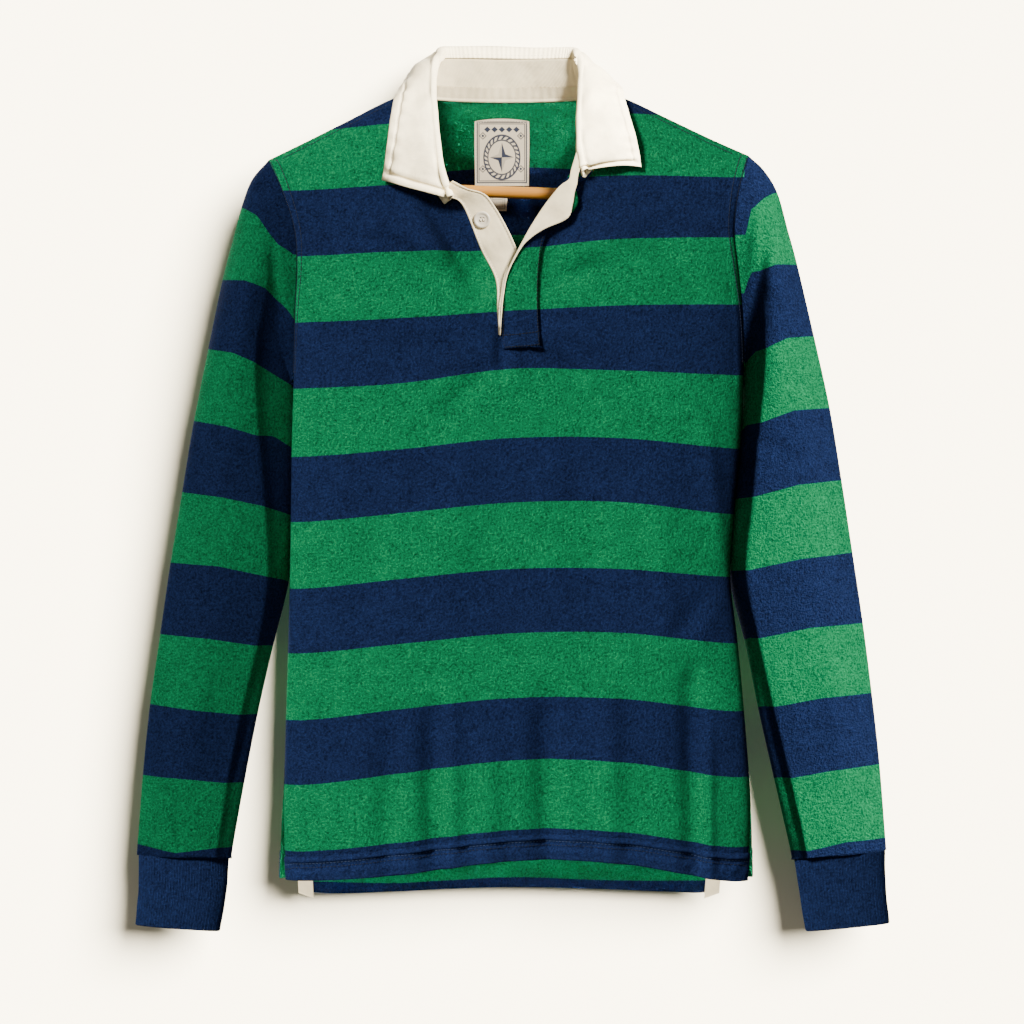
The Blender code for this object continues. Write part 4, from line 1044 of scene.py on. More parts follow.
def collar_leaf(skin):
    """Up inside the stand, over the roll and down to the free edge, clear of the cloth below: a
    curved middle surface given a thickness that rounds off at all its edges. It puckers along its
    stitching, and its waves are lower over the roll, so that the roll stays on the stand."""
    at = collar_stations()
    base, fold, edge, arch, up, out = collar_frames(at)
    reach = inside_reach(base, fold)
    middle = fold - up * ROLL
    lines = [middle - out * ROLL - up * reach * k for k in (1, 0.985, 0.95, 0.85, 0.6, 0.3)]
    inner_lines = len(lines)
    over_roll = np.radians(np.arange(180, -1, -18))
    lines += [middle + ROLL * (out * math.cos(a) + up * math.sin(a)) for a in over_roll]
    start = middle + out * ROLL
    length = np.linalg.norm(edge - start, axis=1, keepdims=True)
    bend = (start + edge) / 2 + length * (out + up) * arch
    first = len(lines)
    upper = np.linspace(0, 1, 16)[1:-1]
    shares = [upper_share * (1 - END_STEPS[-1] / length) for upper_share in upper]
    shares += [1 - d / length for d in END_STEPS[::-1]]
    lines += [start * (1 - t) ** 2 + bend * 2 * t * (1 - t) + edge * t * t for t in shares]
    grid = np.array(lines)
    x, z = grid[first:, :, 0], grid[first:, :, 2]
    y = grid[first:, :, 1]
    over = z < rising(RIDGE, 1, x) + 2.6
    grid[first:, :, 1] = np.where(
        over & (y < 2), np.minimum(y, front_y(x, z) - 2.4),
        np.where(over & (y >= 2), np.maximum(y, back_y(x, z) + 2.4), y),
    )
    foot = np.concatenate([
        np.full((first, len(at)), FAR_IN), np.array([(1 - t)[:, 0] * length[:, 0] for t in shares]),
    ])
    side = np.minimum(at, at[-1] - at)[None] * END_SPACING + 0 * foot
    head = np.concatenate([
        reach[:, 0] * np.array([[0, 0.015, 0.05, 0.15, 0.4, 0.7]]).T,
        np.full((len(grid) - inner_lines, len(at)), FAR_IN),
    ])
    nearest = np.minimum(foot, side)
    outward = normals(grid)
    outward *= np.sign((outward[first:] * out).sum())
    half = rounded(np.minimum(nearest, head), LEAF_WALL)
    seam = -0.8 * hump(nearest, STITCH_IN, 1.5)
    along = np.broadcast_to(at[None] * SPACING, foot.shape)
    pucker = 1.1 * np.sin(along * 2 * math.pi / 9.5 + 3 * ripple(along, foot * 0, 2.0))
    pucker = pucker * hump(nearest, STITCH_IN, 4.5)
    rolled = foot > FAR_IN - 1
    soft = ripple(along * 1.5, foot * 1.5, 9.0)
    soft = soft * np.where(rolled, 1.2, 3.8 * np.clip(foot / 20, 0.3, 1))
    soft = soft + ripple(along * 3.5, foot * 0, 3.0) * rolled
    face = grid + outward * (half + seam + pucker + soft)[..., None]
    under = grid - outward * (half - pucker - soft)[..., None]
    maps = {
        "cloth": np.stack([along, foot], -1) * MM,
        "seam": np.stack([side, foot], -1) * MM,
    }
    return wall("collar_leaf_cloth", face, under, skin, maps), face, outward, first


# ---- placket --------------------------------------------------------------------------------
UNDER_PLACKET = (
    # left_x, left_z, right_x, right_z, left_lift, right_lift
    (-60, 0, -50, 8, 9, 8),
    (-55, -6, -36, 1, 7.5, 5.5),
    (-46.5, -9, -21, -4, 4.6, 1.8),
    (-41, -15, -11.5, -16, 3.4, -1.5),
    (-34.5, -30, -2.5, -31.5, 2.6, -2.4),
    (-26, -52.5, 7.8, -54, 2.2, -2.4),
    (-12.6, -80, 16, -80, 2.2, 0.8),
    (-10.8, -109, 19, -109, 2.2, 0.8),
    (-9.2, -130, 21, -130.5, 2.2, 0.8),
)
OVER_PLACKET = (
    (-5.4, -142.5, 29.4, -140.5, 3.9, 2.6),
    (-6.9, -138, 28.6, -138, 4.2, 2.6),
    (-6.7, -114, 26.6, -113, 4.4, 2.6),
    (-5, -95, 26.1, -96, 4.4, 2.6),
    (-1, -75, 26.6, -75, 4.6, 2.6),
    (7.8, -54.9, 30, -52, 5.2, 2.8),
    (20, -33, 37, -33, 6.2, 3.2),
    (32.5, -14, 47, -14, 7.4, 3.4),
    (45, 0.5, 58, 3, 8.2, 3.6),
    (54, 13, 66, 15, 8.2, 3.8),
)
FACING = (
    # roll_x, roll_z, free_x, free_z, roll_lift, free_lift
    (-8.9, -131, -7.3, -131, 6.2, 6.1),
    (-8.1, -114, -6.1, -114, 6.5, 6.4),
    (-6.5, -95, -4.3, -95, 6.5, 6.4),
    (-2.7, -75, -0.3, -75, 6.7, 6.6),
    (6.9, -55, 10.6, -54, 7.3, 7.1),
    (12.4, -45, 19.5, -44, 8.6, 7.6),
    (19.8, -32, 32.5, -35.4, 9.8, 7.8),
    (32.4, -13, 52.5, -26, 11.2, 7.8),
    (44.5, 2, 57.2, -13, 12, 8.2),
    (53, 8.5, 58.8, -3, 12, 8.6),
    (54.6, 14.5, 61, 4.5, 12, 8.6),
    (56, 20, 62.5, 14, 11.5, 8.8),
    (60, 34, 68, 30, 9.5, 8.8),
)
# The over placket's own jersey showing at its turned top, beside the neck seam.
PLACKET_TURN = (
    (53.5, -22, 58, -20, 5.6, 4.8), (54, -12, 62, -12, 7.2, 5.2), (56, -5, 61.5, -5, 7.6, 5.4),
    (58, -1, 61, -1, 6.6, 5.0),
)


def strip(name, table, rows, columns, bow, skin, thickness=1.5, rim=0.0, levels=False, shift=0.0):
    """A strip between its two edges, lifted off the body with a slight bow: its edges are rounded,
    and rim raises a rolled edge down both of its sides. The lift is of its outer face."""
    at = np.linspace(0, len(table) - 1, rows)
    left_x, left_z, right_x, right_z, left_lift, right_lift = (c[:, None] for c in rows_at(table, at).T)
    wide = np.hypot(right_x - left_x, right_z - left_z)
    near = np.array([0, 0.05, 0.2, 0.45, 0.8, 1.4, 2.0, 2.6, 3.3])
    near = near * min(1.0, wide.min() * 0.22 / 3.3)
    inner = np.linspace(0, 1, columns)[None, 1:-1]
    d = np.concatenate([
        np.broadcast_to(near, (rows, len(near))),
        near[-1] + (wide - 2 * near[-1]) * inner,
        wide - near[::-1],
    ], axis=1)
    share = d / wide
    x, z = left_x + (right_x - left_x) * share, left_z + (right_z - left_z) * share
    lift = left_lift + (right_lift - left_lift) * share + bow * 4 * share * (1 - share)
    aside = np.minimum(d, wide - d)
    lift = lift + rim * (hump(aside, 1.3, 1.0) - 0.7 * hump(aside, 3.2, 0.8))
    lift = lift + 0.3 * ripple(x * 1.6, z * 1.6, 7.0)
    grid = np.stack([x, front_y(x, z) - lift, z], -1)
    outward = normals(grid)
    outward *= -np.sign(outward[..., 1].sum())
    down = lengths(grid[:, grid.shape[1] // 2])
    ends = np.minimum(down, down[-1] - down)[:, None]
    half = rounded(np.minimum(aside, ends), thickness)
    middle = grid - outward * thickness / 2
    second = np.broadcast_to(down[:, None], d.shape)
    if levels:
        table = np.array(FRONT_LEVELS, float)
        second = level_of(table[:, 0], level_heights(FRONT_LEVELS, x), z) + shift
    maps = {"cloth": np.stack([d, second], -1) * MM, "seam": np.stack([aside, second], -1) * MM}
    face = middle + outward * half[..., None]
    made = wall(name, face, middle - outward * half[..., None], skin, maps)
    return made, face, outward


def button(strip_face, outward, skin):
    """A turned disc with a raised rim, a dished middle and four holes, standing on the placket."""
    x, z, thick = -23.9, -26.5, 2.4
    far = np.hypot(strip_face[..., 0] - x, strip_face[..., 2] - z)
    i, j = np.unravel_index(far.argmin(), far.shape)
    up = outward[i, j] / np.linalg.norm(outward[i, j])
    foot = np.array([x, strip_face[i, j, 1] - 0.3, z])
    foot[1] -= ((foot - strip_face[i, j]) * up * (1, 0, 1)).sum() / up[1]
    profile = np.array([
        # radius, height as a share of the button's thickness
        (0.0, 0.6), (0.8, 0.6), (0.95, 0.62), (2.85, 0.62), (3.1, 0.66), (3.9, 0.62), (4.4, 0.66),
        (5.0, 0.8), (5.6, 0.93), (6.2, 1.0), (6.9, 0.98), (7.4, 0.8), (7.7, 0.55), (7.6, 0.3),
        (7.0, 0.06), (5.0, 0.0), (0.0, 0.0),
    ]) * (1, thick)
    turn = np.arange(64) * 2 * math.pi / 64
    aside = np.cross(up, (0, 0, 1.0))
    aside /= np.linalg.norm(aside)
    over = np.cross(up, aside)
    r, h = profile[:, 0, None, None], profile[:, 1, None, None]
    spokes = np.cos(turn)[None, :, None] * aside + np.sin(turn)[None, :, None] * over
    points = foot + r * spokes + h * up
    count = len(profile)
    faces = grid_faces(count, len(turn), closed=True)
    flat = points.reshape(-1, 3)
    if signed_volume(flat, faces) < 0:
        faces = faces[:, ::-1]
    made = piece("button_disc", flat, faces, skin)
    work = bpy.data.meshes.new("holes")
    rims, rows = [], []
    for k in range(4):
        a = math.pi / 4 + k * math.pi / 2
        centre = foot + (aside * math.cos(a) + over * math.sin(a)) * 1.9
        ring = centre + (np.cos(turn[::4])[:, None] * aside + np.sin(turn[::4])[:, None] * over) * 0.85
        base = len(rims) * 32
        rims.append(np.concatenate([ring - up, ring + up * 4]))
        n = np.arange(16)
        rows += [[base + i, base + (i + 1) % 16, base + 16 + (i + 1) % 16, base + 16 + i] for i in n]
        rows += [(base + n[::-1]).tolist(), (base + 16 + n).tolist()]
    work.from_pydata((np.concatenate(rims) * MM).tolist(), [], rows)
    if inside_out(work):
        work.flip_normals()
    cut(made, work)
    return made, foot, up, aside, over


def inside_out(mesh):
    work = bmesh.new()
    work.from_mesh(mesh)
    volume = work.calc_volume(signed=True)
    work.free()
    return volume < 0


# ---- stitches -------------------------------------------------------------------------------
def stitches(name, runs, skin, pitch=3.3, length=2.4, radius=0.28):
    """Short threads laid end to end along runs of points, each four rings of six sides with closed
    ends, half sunk in the cloth."""
    rings, quads, count = [], [], 0
    turn = np.arange(6) * math.pi / 3
    reach = np.array([-1, -0.6, 0.6, 1]) * length / 2
    wide = np.array([0.45, 1, 1, 0.45]) * radius
    tube = grid_faces(4, 6, closed=True)
    one = np.concatenate([tube, [[3, 2, 1, 0], [5, 4, 3, 0], [18, 19, 20, 21], [18, 21, 22, 23]]])
    for points, up in runs:
        far = lengths(points)
        spots = np.arange(pitch * 0.6, far[-1] - pitch * 0.3, pitch)
        read = lambda line, at: np.stack([np.interp(at, far, line[:, k]) for k in range(3)], -1)
        middle, above = read(points, spots), read(up, spots)
        along = unit(read(points, spots + length / 2) - read(points, spots - length / 2))
        above = unit(above - (above * along).sum(axis=1, keepdims=True) * along)
        aside = np.cross(along, above)
        bend = np.array([-0.6, 0.25, 0.25, -0.6])[None, :, None, None] * radius
        centre = middle[:, None, None] + along[:, None, None] * reach[None, :, None, None]
        centre = centre + above[:, None, None] * (bend + 0.15 * radius)
        spoke = aside[:, None, None] * np.cos(turn)[None, None, :, None]
        spoke = spoke + above[:, None, None] * np.sin(turn)[None, None, :, None]
        rings.append((centre + spoke * wide[None, :, None, None]).reshape(-1, 3))
        quads.append((one[None] + (count + np.arange(len(spots)) * 24)[:, None, None]).reshape(-1, 4))
        count += len(spots) * 24
    points, faces = np.concatenate(rings), np.concatenate(quads)
    if signed_volume(points, faces) < 0:
        faces = faces[:, ::-1]
    return piece(name, points, faces, skin)


# ---- labels, tapes --------------------------------------------------------------------------
LABEL_LIFT = 0.5      # between the back's cloth and what is sewn to its inside


def inner_strip(name, x, z, thickness, skin, bulge, maps):
    """A strip on the inside of the back, through places across and heights, with its face bulging."""
    face = np.stack([x, back_y(x, z) - JERSEY - LABEL_LIFT - thickness - bulge, z], -1)
    rear = np.stack([x, back_y(x, z) - JERSEY - LABEL_LIFT, z], -1)
    return wall(name, face, rear, skin, maps), face


def neck_tape(skin):
    down = np.array([0, 0.1, 0.4, 0.9, 2.0, 3.4, 5.0, 6.4, 7.4, 8.2, 8.9, 9.6, 10.3, 10.9, 11.4, 11.8, 12.0])
    down = down[:, None]
    x = np.linspace(-70, 68, 110)[None] + 0 * down
    z = 96.0 - down * (1 + 0.10 * np.cos(x * math.pi / 120)) + 0 * x
    bulge = 0.9 * hump(down, 11.0, 0.8) - 0.35 * hump(down, 8.9, 0.5)
    bulge = bulge + 0.2 * np.sin(x * 2 * math.pi / 7.3) + 0.3 * ripple(x * 3, down, 5.0)
    maps = {"cloth": np.stack([x, down + 0 * x], -1) * MM}
    return inner_strip("neck_tape_cloth", x, z, 0.8, skin, bulge, maps)


def label(name, place, arch, skin):
    """A woven label with an arched top edge, sewn on with a slight pucker between its corners."""
    left, right, bottom, top = place
    across = np.concatenate([[0, 0.01], np.linspace(0.03, 0.97, 24), [0.99, 1]])[None]
    down = np.concatenate([[0, 0.008], np.linspace(0.03, 0.97, 28), [0.992, 1]])[:, None]
    x = left + (right - left) * across + 0.4 * np.sin(down * 5) * (across - 0.5)
    z = top - arch * (2 * across - 1) ** 2 - (top - bottom - arch * (2 * across - 1) ** 2) * down
    pucker = 0.35 * ripple(x * 3, z * 3, 2.0)
    pucker = pucker * np.sin(math.pi * down) * np.sin(math.pi * across) + 0.5 * np.sin(math.pi * down) ** 2
    centre = ((left + right) / 2, (top + bottom) / 2)
    maps = {"cloth": np.stack([x - centre[0], z - centre[1]], -1) * MM}
    return inner_strip(name, x, z, 0.6, skin, pucker, maps)


def woven_label(name, half_wide, half_tall, motif):
    """Cream woven label: a plain double border in navy and, in an oval ring, a compass of lozenges
    with a row of small lozenges above it."""
    skin = Skin(name, 0.6, sheen_weight=0.1, specular_ior_level=0.35)
    u, v = skin.chart("cloth")
    weft = ((v * (2 * math.pi / 0.0006)).math("SINE") + (u * (2 * math.pi / 0.0009)).math("SINE")) * 0.5
    slub = skin.noise(900, 3.0, 0.6)
    au, av = u.math("ABSOLUTE"), v.math("ABSOLUTE")
    edge = (half_wide - au).math("MINIMUM", half_tall - av)
    ink = edge.near(0.0022, 0.0009) + edge.near(0.0038, 0.0007) * 0.8
    if motif:
        low = v + 0.0045
        ring = ((u / 0.0158) * (u / 0.0158) + (low / 0.0195) * (low / 0.0195)).math("SQRT")
        ink = ink + ring.near(1.03, 0.07) + ring.near(0.80, 0.06) * 0.9
        rope = ((ring - 0.915).math("ABSOLUTE").rise(0.075, 0.085) * -1.0 + 1.0)
        turns = low.math("ARCTAN2", u) * (24 / (2 * math.pi)) + ring * 3
        ink = ink + rope * turns.math("FRACT").near(0.5, 0.42) * 0.9
        tall = (au / 0.0042 + low.math("ABSOLUTE") / 0.0135)
        flat = (au / 0.0108 + low.math("ABSOLUTE") / 0.0042)
        star = (1 - tall.rise(0.95, 1.05)).math("MAXIMUM", 1 - flat.rise(0.95, 1.05))
        small = (1 - (au / 0.0060 + low.math("ABSOLUTE") / 0.0060).rise(0.95, 1.08))
        half = (u * low).rise(-0.0000002, 0.0000002)
        ink = ink + star * (0.25 + half * 0.75) + small * (1 - star) * 0.7
        row = (u / 0.0066).math("ADD", 0.5).math("FRACT") - 0.5
        gem = 1 - (row.math("ABSOLUTE") * 2.2 + (v - 0.0208).math("ABSOLUTE") / 0.0027).rise(0.9, 1.1)
        ink = ink + gem * (1 - au.rise(0.0160, 0.0165))
        corner = ((au - 0.0172).math("ABSOLUTE") + (av - 0.0150).math("ABSOLUTE"))
        ink = ink + corner.near(0.0030, 0.0009) * 0.8 + (1 - corner.rise(0.0012, 0.0016)) * 0.9
    else:
        bar = (v - 0.001).near(0.0, 0.0005) * (1 - au.rise(0.0040, 0.0043))
        ink = ink * 0.35 + bar * 0.5
    frayed = ink * (1.1 + slub * 0.5)
    base = skin.mix(slub * 0.6, (0.62, 0.52, 0.36, 1), (0.42, 0.34, 0.22, 1))
    colour = skin.mix(frayed.math("MINIMUM", 1.0), base, (0.006, 0.010, 0.026, 1))
    return skin.give(Base_Color=colour, Normal=skin.bump(weft + slub, 0.3, 0.0004))


def vent_tape(name, place, skin):
    """A narrow tape from the top of a side vent, inside both panels, out below the hem."""
    top_left, low_left, width, top, bottom, slant = place
    share = np.linspace(0, 1, 40)[:, None]
    near = np.array([0, 0.15, 0.5, 1.0])
    d = np.concatenate([near, np.linspace(1.0, width - 1.0, 8)[1:-1], width - near[::-1]])[None]
    across = d / width
    x = top_left + (low_left - top_left) * share + d
    z = top + (bottom - top) * share + slant * (2 * across - 1) * share
    y = back_y(x, z) - JERSEY - 1.2
    half = rounded(np.minimum(d, width - d), 1.0)
    maps = {"cloth": np.stack([d + 0 * share, (top - z)], -1) * MM}
    front = np.stack([x, y - half, z], -1)
    return wall(name, front, np.stack([x, y + half, z], -1), skin, maps)


# ---- making everything ----------------------------------------------------------------------
ARM_TOPS, ARM_BOTTOMS = armhole_ends()
jersey = striped("striped_jersey_nap")
navy = plain_jersey("navy_jersey_nap")
ribbed = plain_jersey("navy_rib", rib=True)
cream = twill("cream_twill_weave")
collar_cream = twill("collar_twill_weave", stitched=True)
cream_thread = thread("cream_thread", THREAD_CREAM)
dark_thread_and_seam_shade = thread("dark_thread_and_seam_shade", DARK_THREAD_AND_SHADE)
tan_thread = thread("tan_thread", (0.30, 0.25, 0.18, 1))

front_grid, back_grid = front_sheet(), back_sheet(np.linspace(0, 1, 115)[1:])
front = panel("front_cloth", front_grid, FRONT_LEVELS, -1, jersey)
necks = np.array(COLLAR, float)
outline = [(-74, 120)] + [(x - 2.1, z - 1) for x, z in necks[:FRONT_STATIONS, :2][::-1]] + list(SLIT)
outline += [(x + 2.1, z - 1) for x, z in necks[-FRONT_STATIONS:, :2][::-1]] + [(70.5, 120)]
carve(front, outline)
back = panel("back_cloth", back_grid, BACK_LEVELS, 1, jersey)

band_steps = np.array([0, 0.1, 0.3, 0.7, 1.3, 2.2, 3.2, 4.2, 5.0, 5.8, 6.8, 8.0, 9.2, 10.4, 11.6, 12.8, 14.2,
                       16, 18, 19.6, 20.6, 21.3, 21.7, 21.9, 22]) / 22
band_levels = (BAND_LEVEL + (BOTTOM_LEVEL - BAND_LEVEL) * band_steps)[:, None]
front_band_grid = settle(lambda x: level_height(band_levels, x), len(band_levels), False)
front_band, front_band_face = hem_band("front_band_cloth", front_band_grid, -1, navy)
back_band_grid = back_sheet(0.943 + 0.057 * band_steps, top_rows=False)
back_band, back_band_face = hem_band("back_band_cloth", back_band_grid, 1, navy)

sleeve_left = sleeve("left", front_grid, back_grid, jersey)
sleeve_right = sleeve("right", front_grid, back_grid, jersey)
cuff_left, cuff_right = cuff("left", ribbed), cuff("right", ribbed)
stand, stand_face, stand_out = collar_stand(cream)
leaf, leaf_face, leaf_out, leaf_first = collar_leaf(collar_cream)
tape, tape_face = neck_tape(cream)
under, under_face, under_out = strip("under_placket_cloth", UNDER_PLACKET, 80, 18, 0.0, cream, rim=0.55)
over, over_face, _ = strip("over_placket_cloth", OVER_PLACKET, 90, 18, 0.5, jersey, rim=0.15, levels=True)
facing, facing_face, facing_out = strip("placket_facing_cloth", FACING, 110, 14, 0.5, cream, rim=0.3)
turn, _, _ = strip("over_placket_turn", PLACKET_TURN, 30, 10, 0.8, jersey, levels=True, shift=-52)
disc, disc_foot, disc_up, disc_aside, disc_over = button(under_face, under_out, shell("button_shell_clouded"))
main_cloth = woven_label("woven_label_motif", 0.0245, 0.0297, True)
small_cloth = woven_label("woven_label_plain", 0.0086, 0.0096, False)
main_label, main_face = label("main_label_cloth", (-31.2, 18.2, 7.2, 68.4), 2.4, main_cloth)
size_label, size_face = label("size_label_cloth", (-19, -1.8, -15.6, 3.6), 0.0, small_cloth)
vent_left = vent_tape("vent_tape_left_cloth", (-194, -190, 13.5, -560, -634.5, -2.5), cream)
vent_right = vent_tape("vent_tape_right_cloth", (183, 176.5, 13.5, -552, -635, 2.5), cream)


def forward(points):
    """A run of stitching whose threads stand out straight to the front."""
    return points, np.broadcast_to((0.0, -1.0, 0.0), points.shape)


# Twin stitching beside each armhole, front and back, and one line below each shoulder seam. Its near-black
# thread is partly the thread's colour and partly painted shade of the seam's grooves.
armhole_runs = []
for sheet, side in ((front_grid, -1), (back_grid, 1)):
    rows = sheet[3:KNEE - 2]
    facing_way = side * normals(rows)
    for edge_side in (-1, 1):
        column = 4 if edge_side < 0 else -5
        for distance in (0.7, 7.2):
            line = inset(rows, distance, edge_side) + side * np.array((0, 0.12, 0))
            armhole_runs.append((line, facing_way[:, column]))
    for x_range in ((-205, -104), (112, 203)):
        line_x = np.linspace(*x_range, 60)
        line_z = shoulder_line(line_x) - 5.2
        y = front_y(line_x, line_z) if side < 0 else back_y(line_x, line_z)
        line = np.stack([line_x, y + side * 0.1, line_z], -1)
        armhole_runs.append((line, np.broadcast_to((0, side * 0.75, 0.65), line.shape)))
seam_stitches = stitches("seam_stitches", armhole_runs, dark_thread_and_seam_shade, pitch=2.9, length=2.6, radius=0.42)

hem_runs, hem_dark = [], []
for face, side in ((front_band_face, -1), (back_band_face, 1)):
    turned = np.swapaxes(face, 0, 1)
    way = np.swapaxes(side * normals(face), 0, 1)[:, 12]
    hem_runs.append((inset(turned, 8.8), way))
    hem_dark.append((inset(turned, 12.6), way))
navy_thread = thread("navy_thread", (0.035, 0.06, 0.13, 1))
hem_stitches = stitches("hem_stitches_upper", hem_runs, navy_thread, radius=0.32)
hem_stitches_dark = stitches("hem_stitches_lower", hem_dark, dark_thread_and_seam_shade, radius=0.36)

row_in = leaf_face.shape[0] - 1 - STITCH_STEP
last = leaf_face.shape[1] - 1
collar_runs = [
    (leaf_face[where], leaf_out[where])
    for where in (
        np.s_[row_in, STITCH_STEP:last - STITCH_STEP + 1],
        np.s_[leaf_first + 3:row_in + 1, STITCH_STEP],
        np.s_[leaf_first + 3:row_in + 1, last - STITCH_STEP],
        np.s_[4, 22:last - 21],
    )
]
collar_stitches = stitches("collar_stitches", collar_runs, cream_thread, pitch=3.0, length=2.1, radius=0.24)
stand_runs = [(stand_face[1, 24:last - 23], -stand_out[24:last - 23]), forward(tape_face[10])]
stand_stitches = stitches("stand_stitches", stand_runs, cream_thread, pitch=2.8, length=1.9, radius=0.2)


def on_front(points, lift):
    """A run over the front at named places, lifted off it: its points are spread evenly between."""
    points = np.array(points, float)
    at = np.linspace(0, len(points) - 1, 60)
    x, z = rows_at(points, at).T
    return forward(np.stack([x, front_y(x, z) - lift, z], -1))


def on_strip(face, points):
    """A run over a strip's face at named places: the height of its nearest points there."""
    points = np.array(points, float)
    x, z = rows_at(points, np.linspace(0, len(points) - 1, 60)).T
    far = (face[..., 0].ravel()[None] - x[:, None]) ** 2 + (face[..., 2].ravel()[None] - z[:, None]) ** 2
    near = np.argsort(far, axis=1)[:, :4]
    y = face[..., 1].ravel()[near].mean(axis=1)
    return forward(np.stack([x, y - 0.1, z], -1))


box_runs = [
    on_strip(over_face, [(-4.9, -130.3), (8, -129.4), (26.6, -127)]),
    on_strip(over_face, [(-3.8, -141), (4, -140.6), (14, -139.9), (28, -138.4)]),
    on_strip(over_face, [(-4.4, -104), (-5.0, -118), (-5.0, -130), (-3.8, -140.6)]),
    on_front([(27.2, -140), (26.2, -128), (25.4, -110), (25.2, -90), (26.4, -66), (29.6, -45), (36, -33)],
             3.4),
]
# near-black thread: partly the thread's colour, partly painted shade of the puckered seam beside the placket
box_thread_and_seam_shade = thread("box_thread_and_seam_shade", (0.002, 0.004, 0.01, 1))
placket_stitches = stitches("placket_stitches", box_runs, box_thread_and_seam_shade, pitch=3.0, length=2.6, radius=0.42)
column = facing_face.shape[1] - 9
facing_runs = [(facing_face[42:104, column], facing_out[42:104, column])]
facing_runs += [(under_face[3:-3, column], under_out[3:-3, column]) for column in (8, -9)]
facing_stitches = stitches("facing_stitches", facing_runs, tan_thread, pitch=2.9, length=2.0, radius=0.2)
label_runs = []
for face in (main_face, size_face):
    a, b = 2, -3
    ring = np.concatenate([face[a, a:b], face[a:b, b], face[b, b:a:-1], face[b:a:-1, a]])
    label_runs.append(forward(ring))
label_stitches = stitches("label_stitches", label_runs, cream_thread, pitch=2.6, length=1.7, radius=0.16)

# Thread through the button's four holes: two short bars.
HOLE_REACH, BAR_HEIGHT = 1.34, 1.75
bars = []
for sign in (-1, 1):
    middle = disc_foot + disc_aside * HOLE_REACH * sign
    a, b = (middle + way * HOLE_REACH + disc_up * BAR_HEIGHT for way in (disc_over, -disc_over))
    bars.append((np.linspace(a, b, 12), np.broadcast_to(disc_up, (12, 3))))
button_thread = stitches("button_thread", bars, cream_thread, pitch=1.9, length=3.0, radius=0.5)

# ---- the hanger's wood ----------------------------------------------------------------------
timber = wood("varnished_light_wood")
for name in ("hanger_bar", "hanger_arm_left", "hanger_arm_right"):
    for thing in bpy.data.objects:
        if thing.name == name or thing.name.startswith(name + "."):
            for place in thing.material_slots:
                place.material = timber

# ---- what each piece is ---------------------------------------------------------------------
CLOTH = (
    # piece, node, slot
    (front, "front_panel", "striped_jersey"),
    (back, "back_panel", "striped_jersey"),
    (front_band, "front_hem_band", "navy_jersey"),
    (back_band, "back_hem_band", "navy_jersey"),
    (sleeve_left, "sleeve_left", "striped_jersey"),
    (sleeve_right, "sleeve_right", "striped_jersey"),
    (cuff_left, "cuff_left", "navy_jersey"),
    (cuff_right, "cuff_right", "navy_jersey"),
    (stand, "collar_stand", "cream_twill"),
    (leaf, "collar_leaf", "cream_twill"),
    (tape, "neck_tape", "cream_twill"),
    (under, "under_placket", "cream_twill"),
    (over, "over_placket", "striped_jersey"),
    (facing, "placket_facing", "cream_twill"),
    (main_label, "main_label", "label_cloth"),
    (size_label, "size_label", "label_cloth"),
    (vent_left, "vent_tape_left", "cream_twill"),
    (vent_right, "vent_tape_right", "cream_twill"),
)
for thing, node, slot in CLOTH:
    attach(thing, "root")
    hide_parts(node)
for thing, slot in (
    (seam_stitches, "navy_jersey"), (hem_stitches, "navy_jersey"), (hem_stitches_dark, "navy_jersey"),
    (collar_stitches, "cream_twill"), (stand_stitches, "cream_twill"), (placket_stitches, "navy_jersey"),
    (facing_stitches, "cream_twill"), (label_stitches, "cream_twill"), (button_thread, "cream_twill"),
    (turn, "striped_jersey"),
):
    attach(thing, "root")
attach(disc, "root")
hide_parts("button")

# ---- wall, floor, light and camera ----------------------------------------------------------
def plane(name, corners, skin):
    """A piece of the room: it takes light and shadow, but throws neither on the shirt."""
    mesh = bpy.data.meshes.new(name)
    mesh.from_pydata(corners, [], [(0, 1, 2, 3)])
    mesh.materials.append(skin)
    thing = placed(name, mesh)
    thing.visible_shadow = thing.visible_diffuse = thing.visible_glossy = False
    return thing


def plaster(name, see_through):
    """Warm white paint with the faintest mottling; from behind the wall lets the view through."""
    skin = Skin(name, 0.9, specular_ior_level=0.1)
    cloud = skin.noise(3.0, 3.0, 0.5)
    colour = skin.mix(cloud * 0.5, (0.90, 0.80, 0.57, 1), (0.875, 0.78, 0.575, 1))
    grain = skin.noise(900, 2.0)
    skin.give(Base_Color=colour, Normal=skin.bump(grain, 0.05, 0.0004))
    if see_through:
        clear = skin.node("BsdfTransparent")
        back_side = skin.node("NewGeometry").outputs["Backfacing"]
        both = skin.node("MixShader", n0=back_side, n1=skin.shader.outputs[0], n2=clear.outputs[0])
        skin.tree.links.new(both.outputs[0], skin.tree.nodes["Material Output"].inputs["Surface"])
    return skin.material


# The room in metres: half its width, the wall's place behind the shirt, its top and the floor's height.
HALF_ROOM, WALL, WALL_TOP, FLOOR = 3, 0.050, 1.6, -1.5
backdrop = plane("wall", [
    (-HALF_ROOM, WALL, WALL_TOP), (-HALF_ROOM, WALL, FLOOR),
    (HALF_ROOM, WALL, FLOOR), (HALF_ROOM, WALL, WALL_TOP),
], plaster("wall_paint", see_through=True))
floor = plane("floor", [
    (-HALF_ROOM, -4, FLOOR), (HALF_ROOM, -4, FLOOR), (HALF_ROOM, 3, FLOOR), (-HALF_ROOM, 3, FLOOR),
], plaster("floor_paint", see_through=False))

world = bpy.data.worlds.new("room")
world.use_nodes = True
world.node_tree.nodes["Background"].inputs["Color"].default_value = (1.0, 0.985, 0.955, 1)
world.node_tree.nodes["Background"].inputs["Strength"].default_value = 0.20
bpy.context.scene.world = world


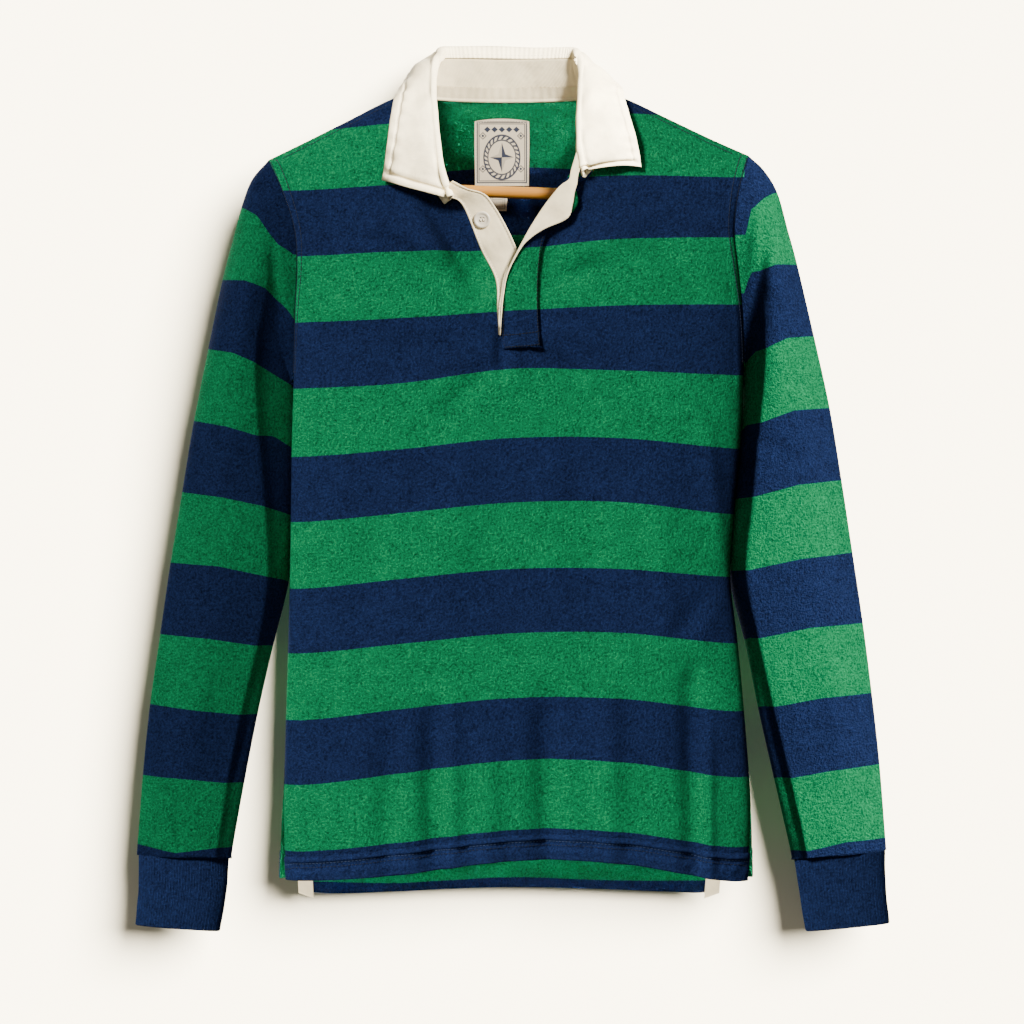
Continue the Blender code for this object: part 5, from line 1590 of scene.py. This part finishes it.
def aimed(name, light, direction, lit):
    """A light that shines one way, and only on one group of pieces."""
    thing = placed(name, light)
    thing.rotation_mode = "QUATERNION"
    thing.rotation_quaternion = Vector((0, 0, -1)).rotation_difference(Vector(direction).normalized())
    thing.light_linking.receiver_collection = lit
    return thing


def sun(name, direction, strength, angle, lit):
    light = bpy.data.lights.new(name, "SUN")
    light.energy, light.angle, light.color = strength, math.radians(angle), SUN_COLOUR
    aimed(name, light, direction, lit)


def group(name, things):
    made = bpy.data.collections.new(name)
    for thing in things:
        made.objects.link(thing)
    return made


FROM_LEFT, FROM_RIGHT, FROM_BEHIND = (0.75, 1.0, -0.75), (-0.8, 1.0, -0.8), (0.55, -1.0, -0.45)
FROM_BELOW, FROM_WALL, FROM_FRONT = (0.1, 1.0, 0.6), (-0.70, 1.0, -0.52), (0.1, 1.0, -0.1)
SUN_COLOUR = (1.0, 0.985, 0.965)
KEY_ANGLE, WALL_KEY_ANGLE, FILL_ANGLE, BEHIND_ANGLE = 12, 38, 150, 30  # how soft each light is, degrees
CARD_WATTS, CARD_SIZE, CARD_PLACE, CARD_WAY = 17.0, 0.12, (0.28, -0.30, 0.24), (-0.2, 0.28, -0.18)
COLLAR_PIECES = [leaf, collar_stitches]
INSIDE = [stand, tape, main_label, size_label, stand_stitches, label_stitches]
PLACKET_PIECES = [under, facing, disc, facing_stitches, button_thread]
BODY_PIECES = [front, front_band, back_band, cuff_left, cuff_right, over, turn, seam_stitches,
               hem_stitches, hem_stitches_dark, placket_stitches]
WOOD = [thing for thing in bpy.data.objects if thing.name.startswith("hanger_")]
for name, things, way, key, fill, behind in (
    # group, its pieces, where its key comes from, and strengths of key, broad fill and back light
    ("body", BODY_PIECES, FROM_LEFT, 7.4, 0.1, 4.4),
    ("back", [back], FROM_LEFT, 2.1, 0.6, 4.4),
    ("back_low", [back, back_band], FROM_BELOW, 5.0, 0.0, 0.0),
    ("tapes", [vent_left, vent_right], FROM_BELOW, 7.0, 0.5, 6.0),
    ("left_sleeve", [sleeve_left], FROM_LEFT, 4.2, 0.3, 4.4),
    ("right_sleeve", [sleeve_right], FROM_RIGHT, 12.0, 0.1, 4.4),
    ("collar", COLLAR_PIECES, FROM_RIGHT, 5.2, 0.1, 10.0),
    ("inside", INSIDE, FROM_RIGHT, 11.0, 0.5, 8.0),
    ("placket", PLACKET_PIECES, FROM_RIGHT, 12.0, 0.5, 8.0),
    ("wood", WOOD, FROM_RIGHT, 9.0, 0.6, 4.0),
    ("wall", [backdrop], FROM_WALL, 44.0, 0.1, 0.0),
    ("floor", [floor], FROM_RIGHT, 4.0, 0.0, 0.0),
):
    lit = group(f"lit_{name}", things)
    sun(f"key_{name}", way, key, WALL_KEY_ANGLE if name == "wall" else KEY_ANGLE, lit)
    if fill:
        sun(f"fill_{name}", FROM_FRONT, fill, FILL_ANGLE, lit)
    if behind:
        sun(f"behind_{name}", FROM_BEHIND, behind, BEHIND_ANGLE, lit)
    if name == "collar":
        card = bpy.data.lights.new("card", "AREA")
        card.energy, card.size = CARD_WATTS, CARD_SIZE
        aimed("card", card, CARD_WAY, lit).location = CARD_PLACE

camera = bpy.data.cameras.new("camera")
camera.lens, camera.sensor_width = 150, 36
camera.clip_end = 50
viewer = placed("camera", camera)
viewer.location = (0.0027, -3.845, -0.288)
viewer.rotation_euler = (math.pi / 2, 0, 0)
bpy.context.scene.camera = viewer
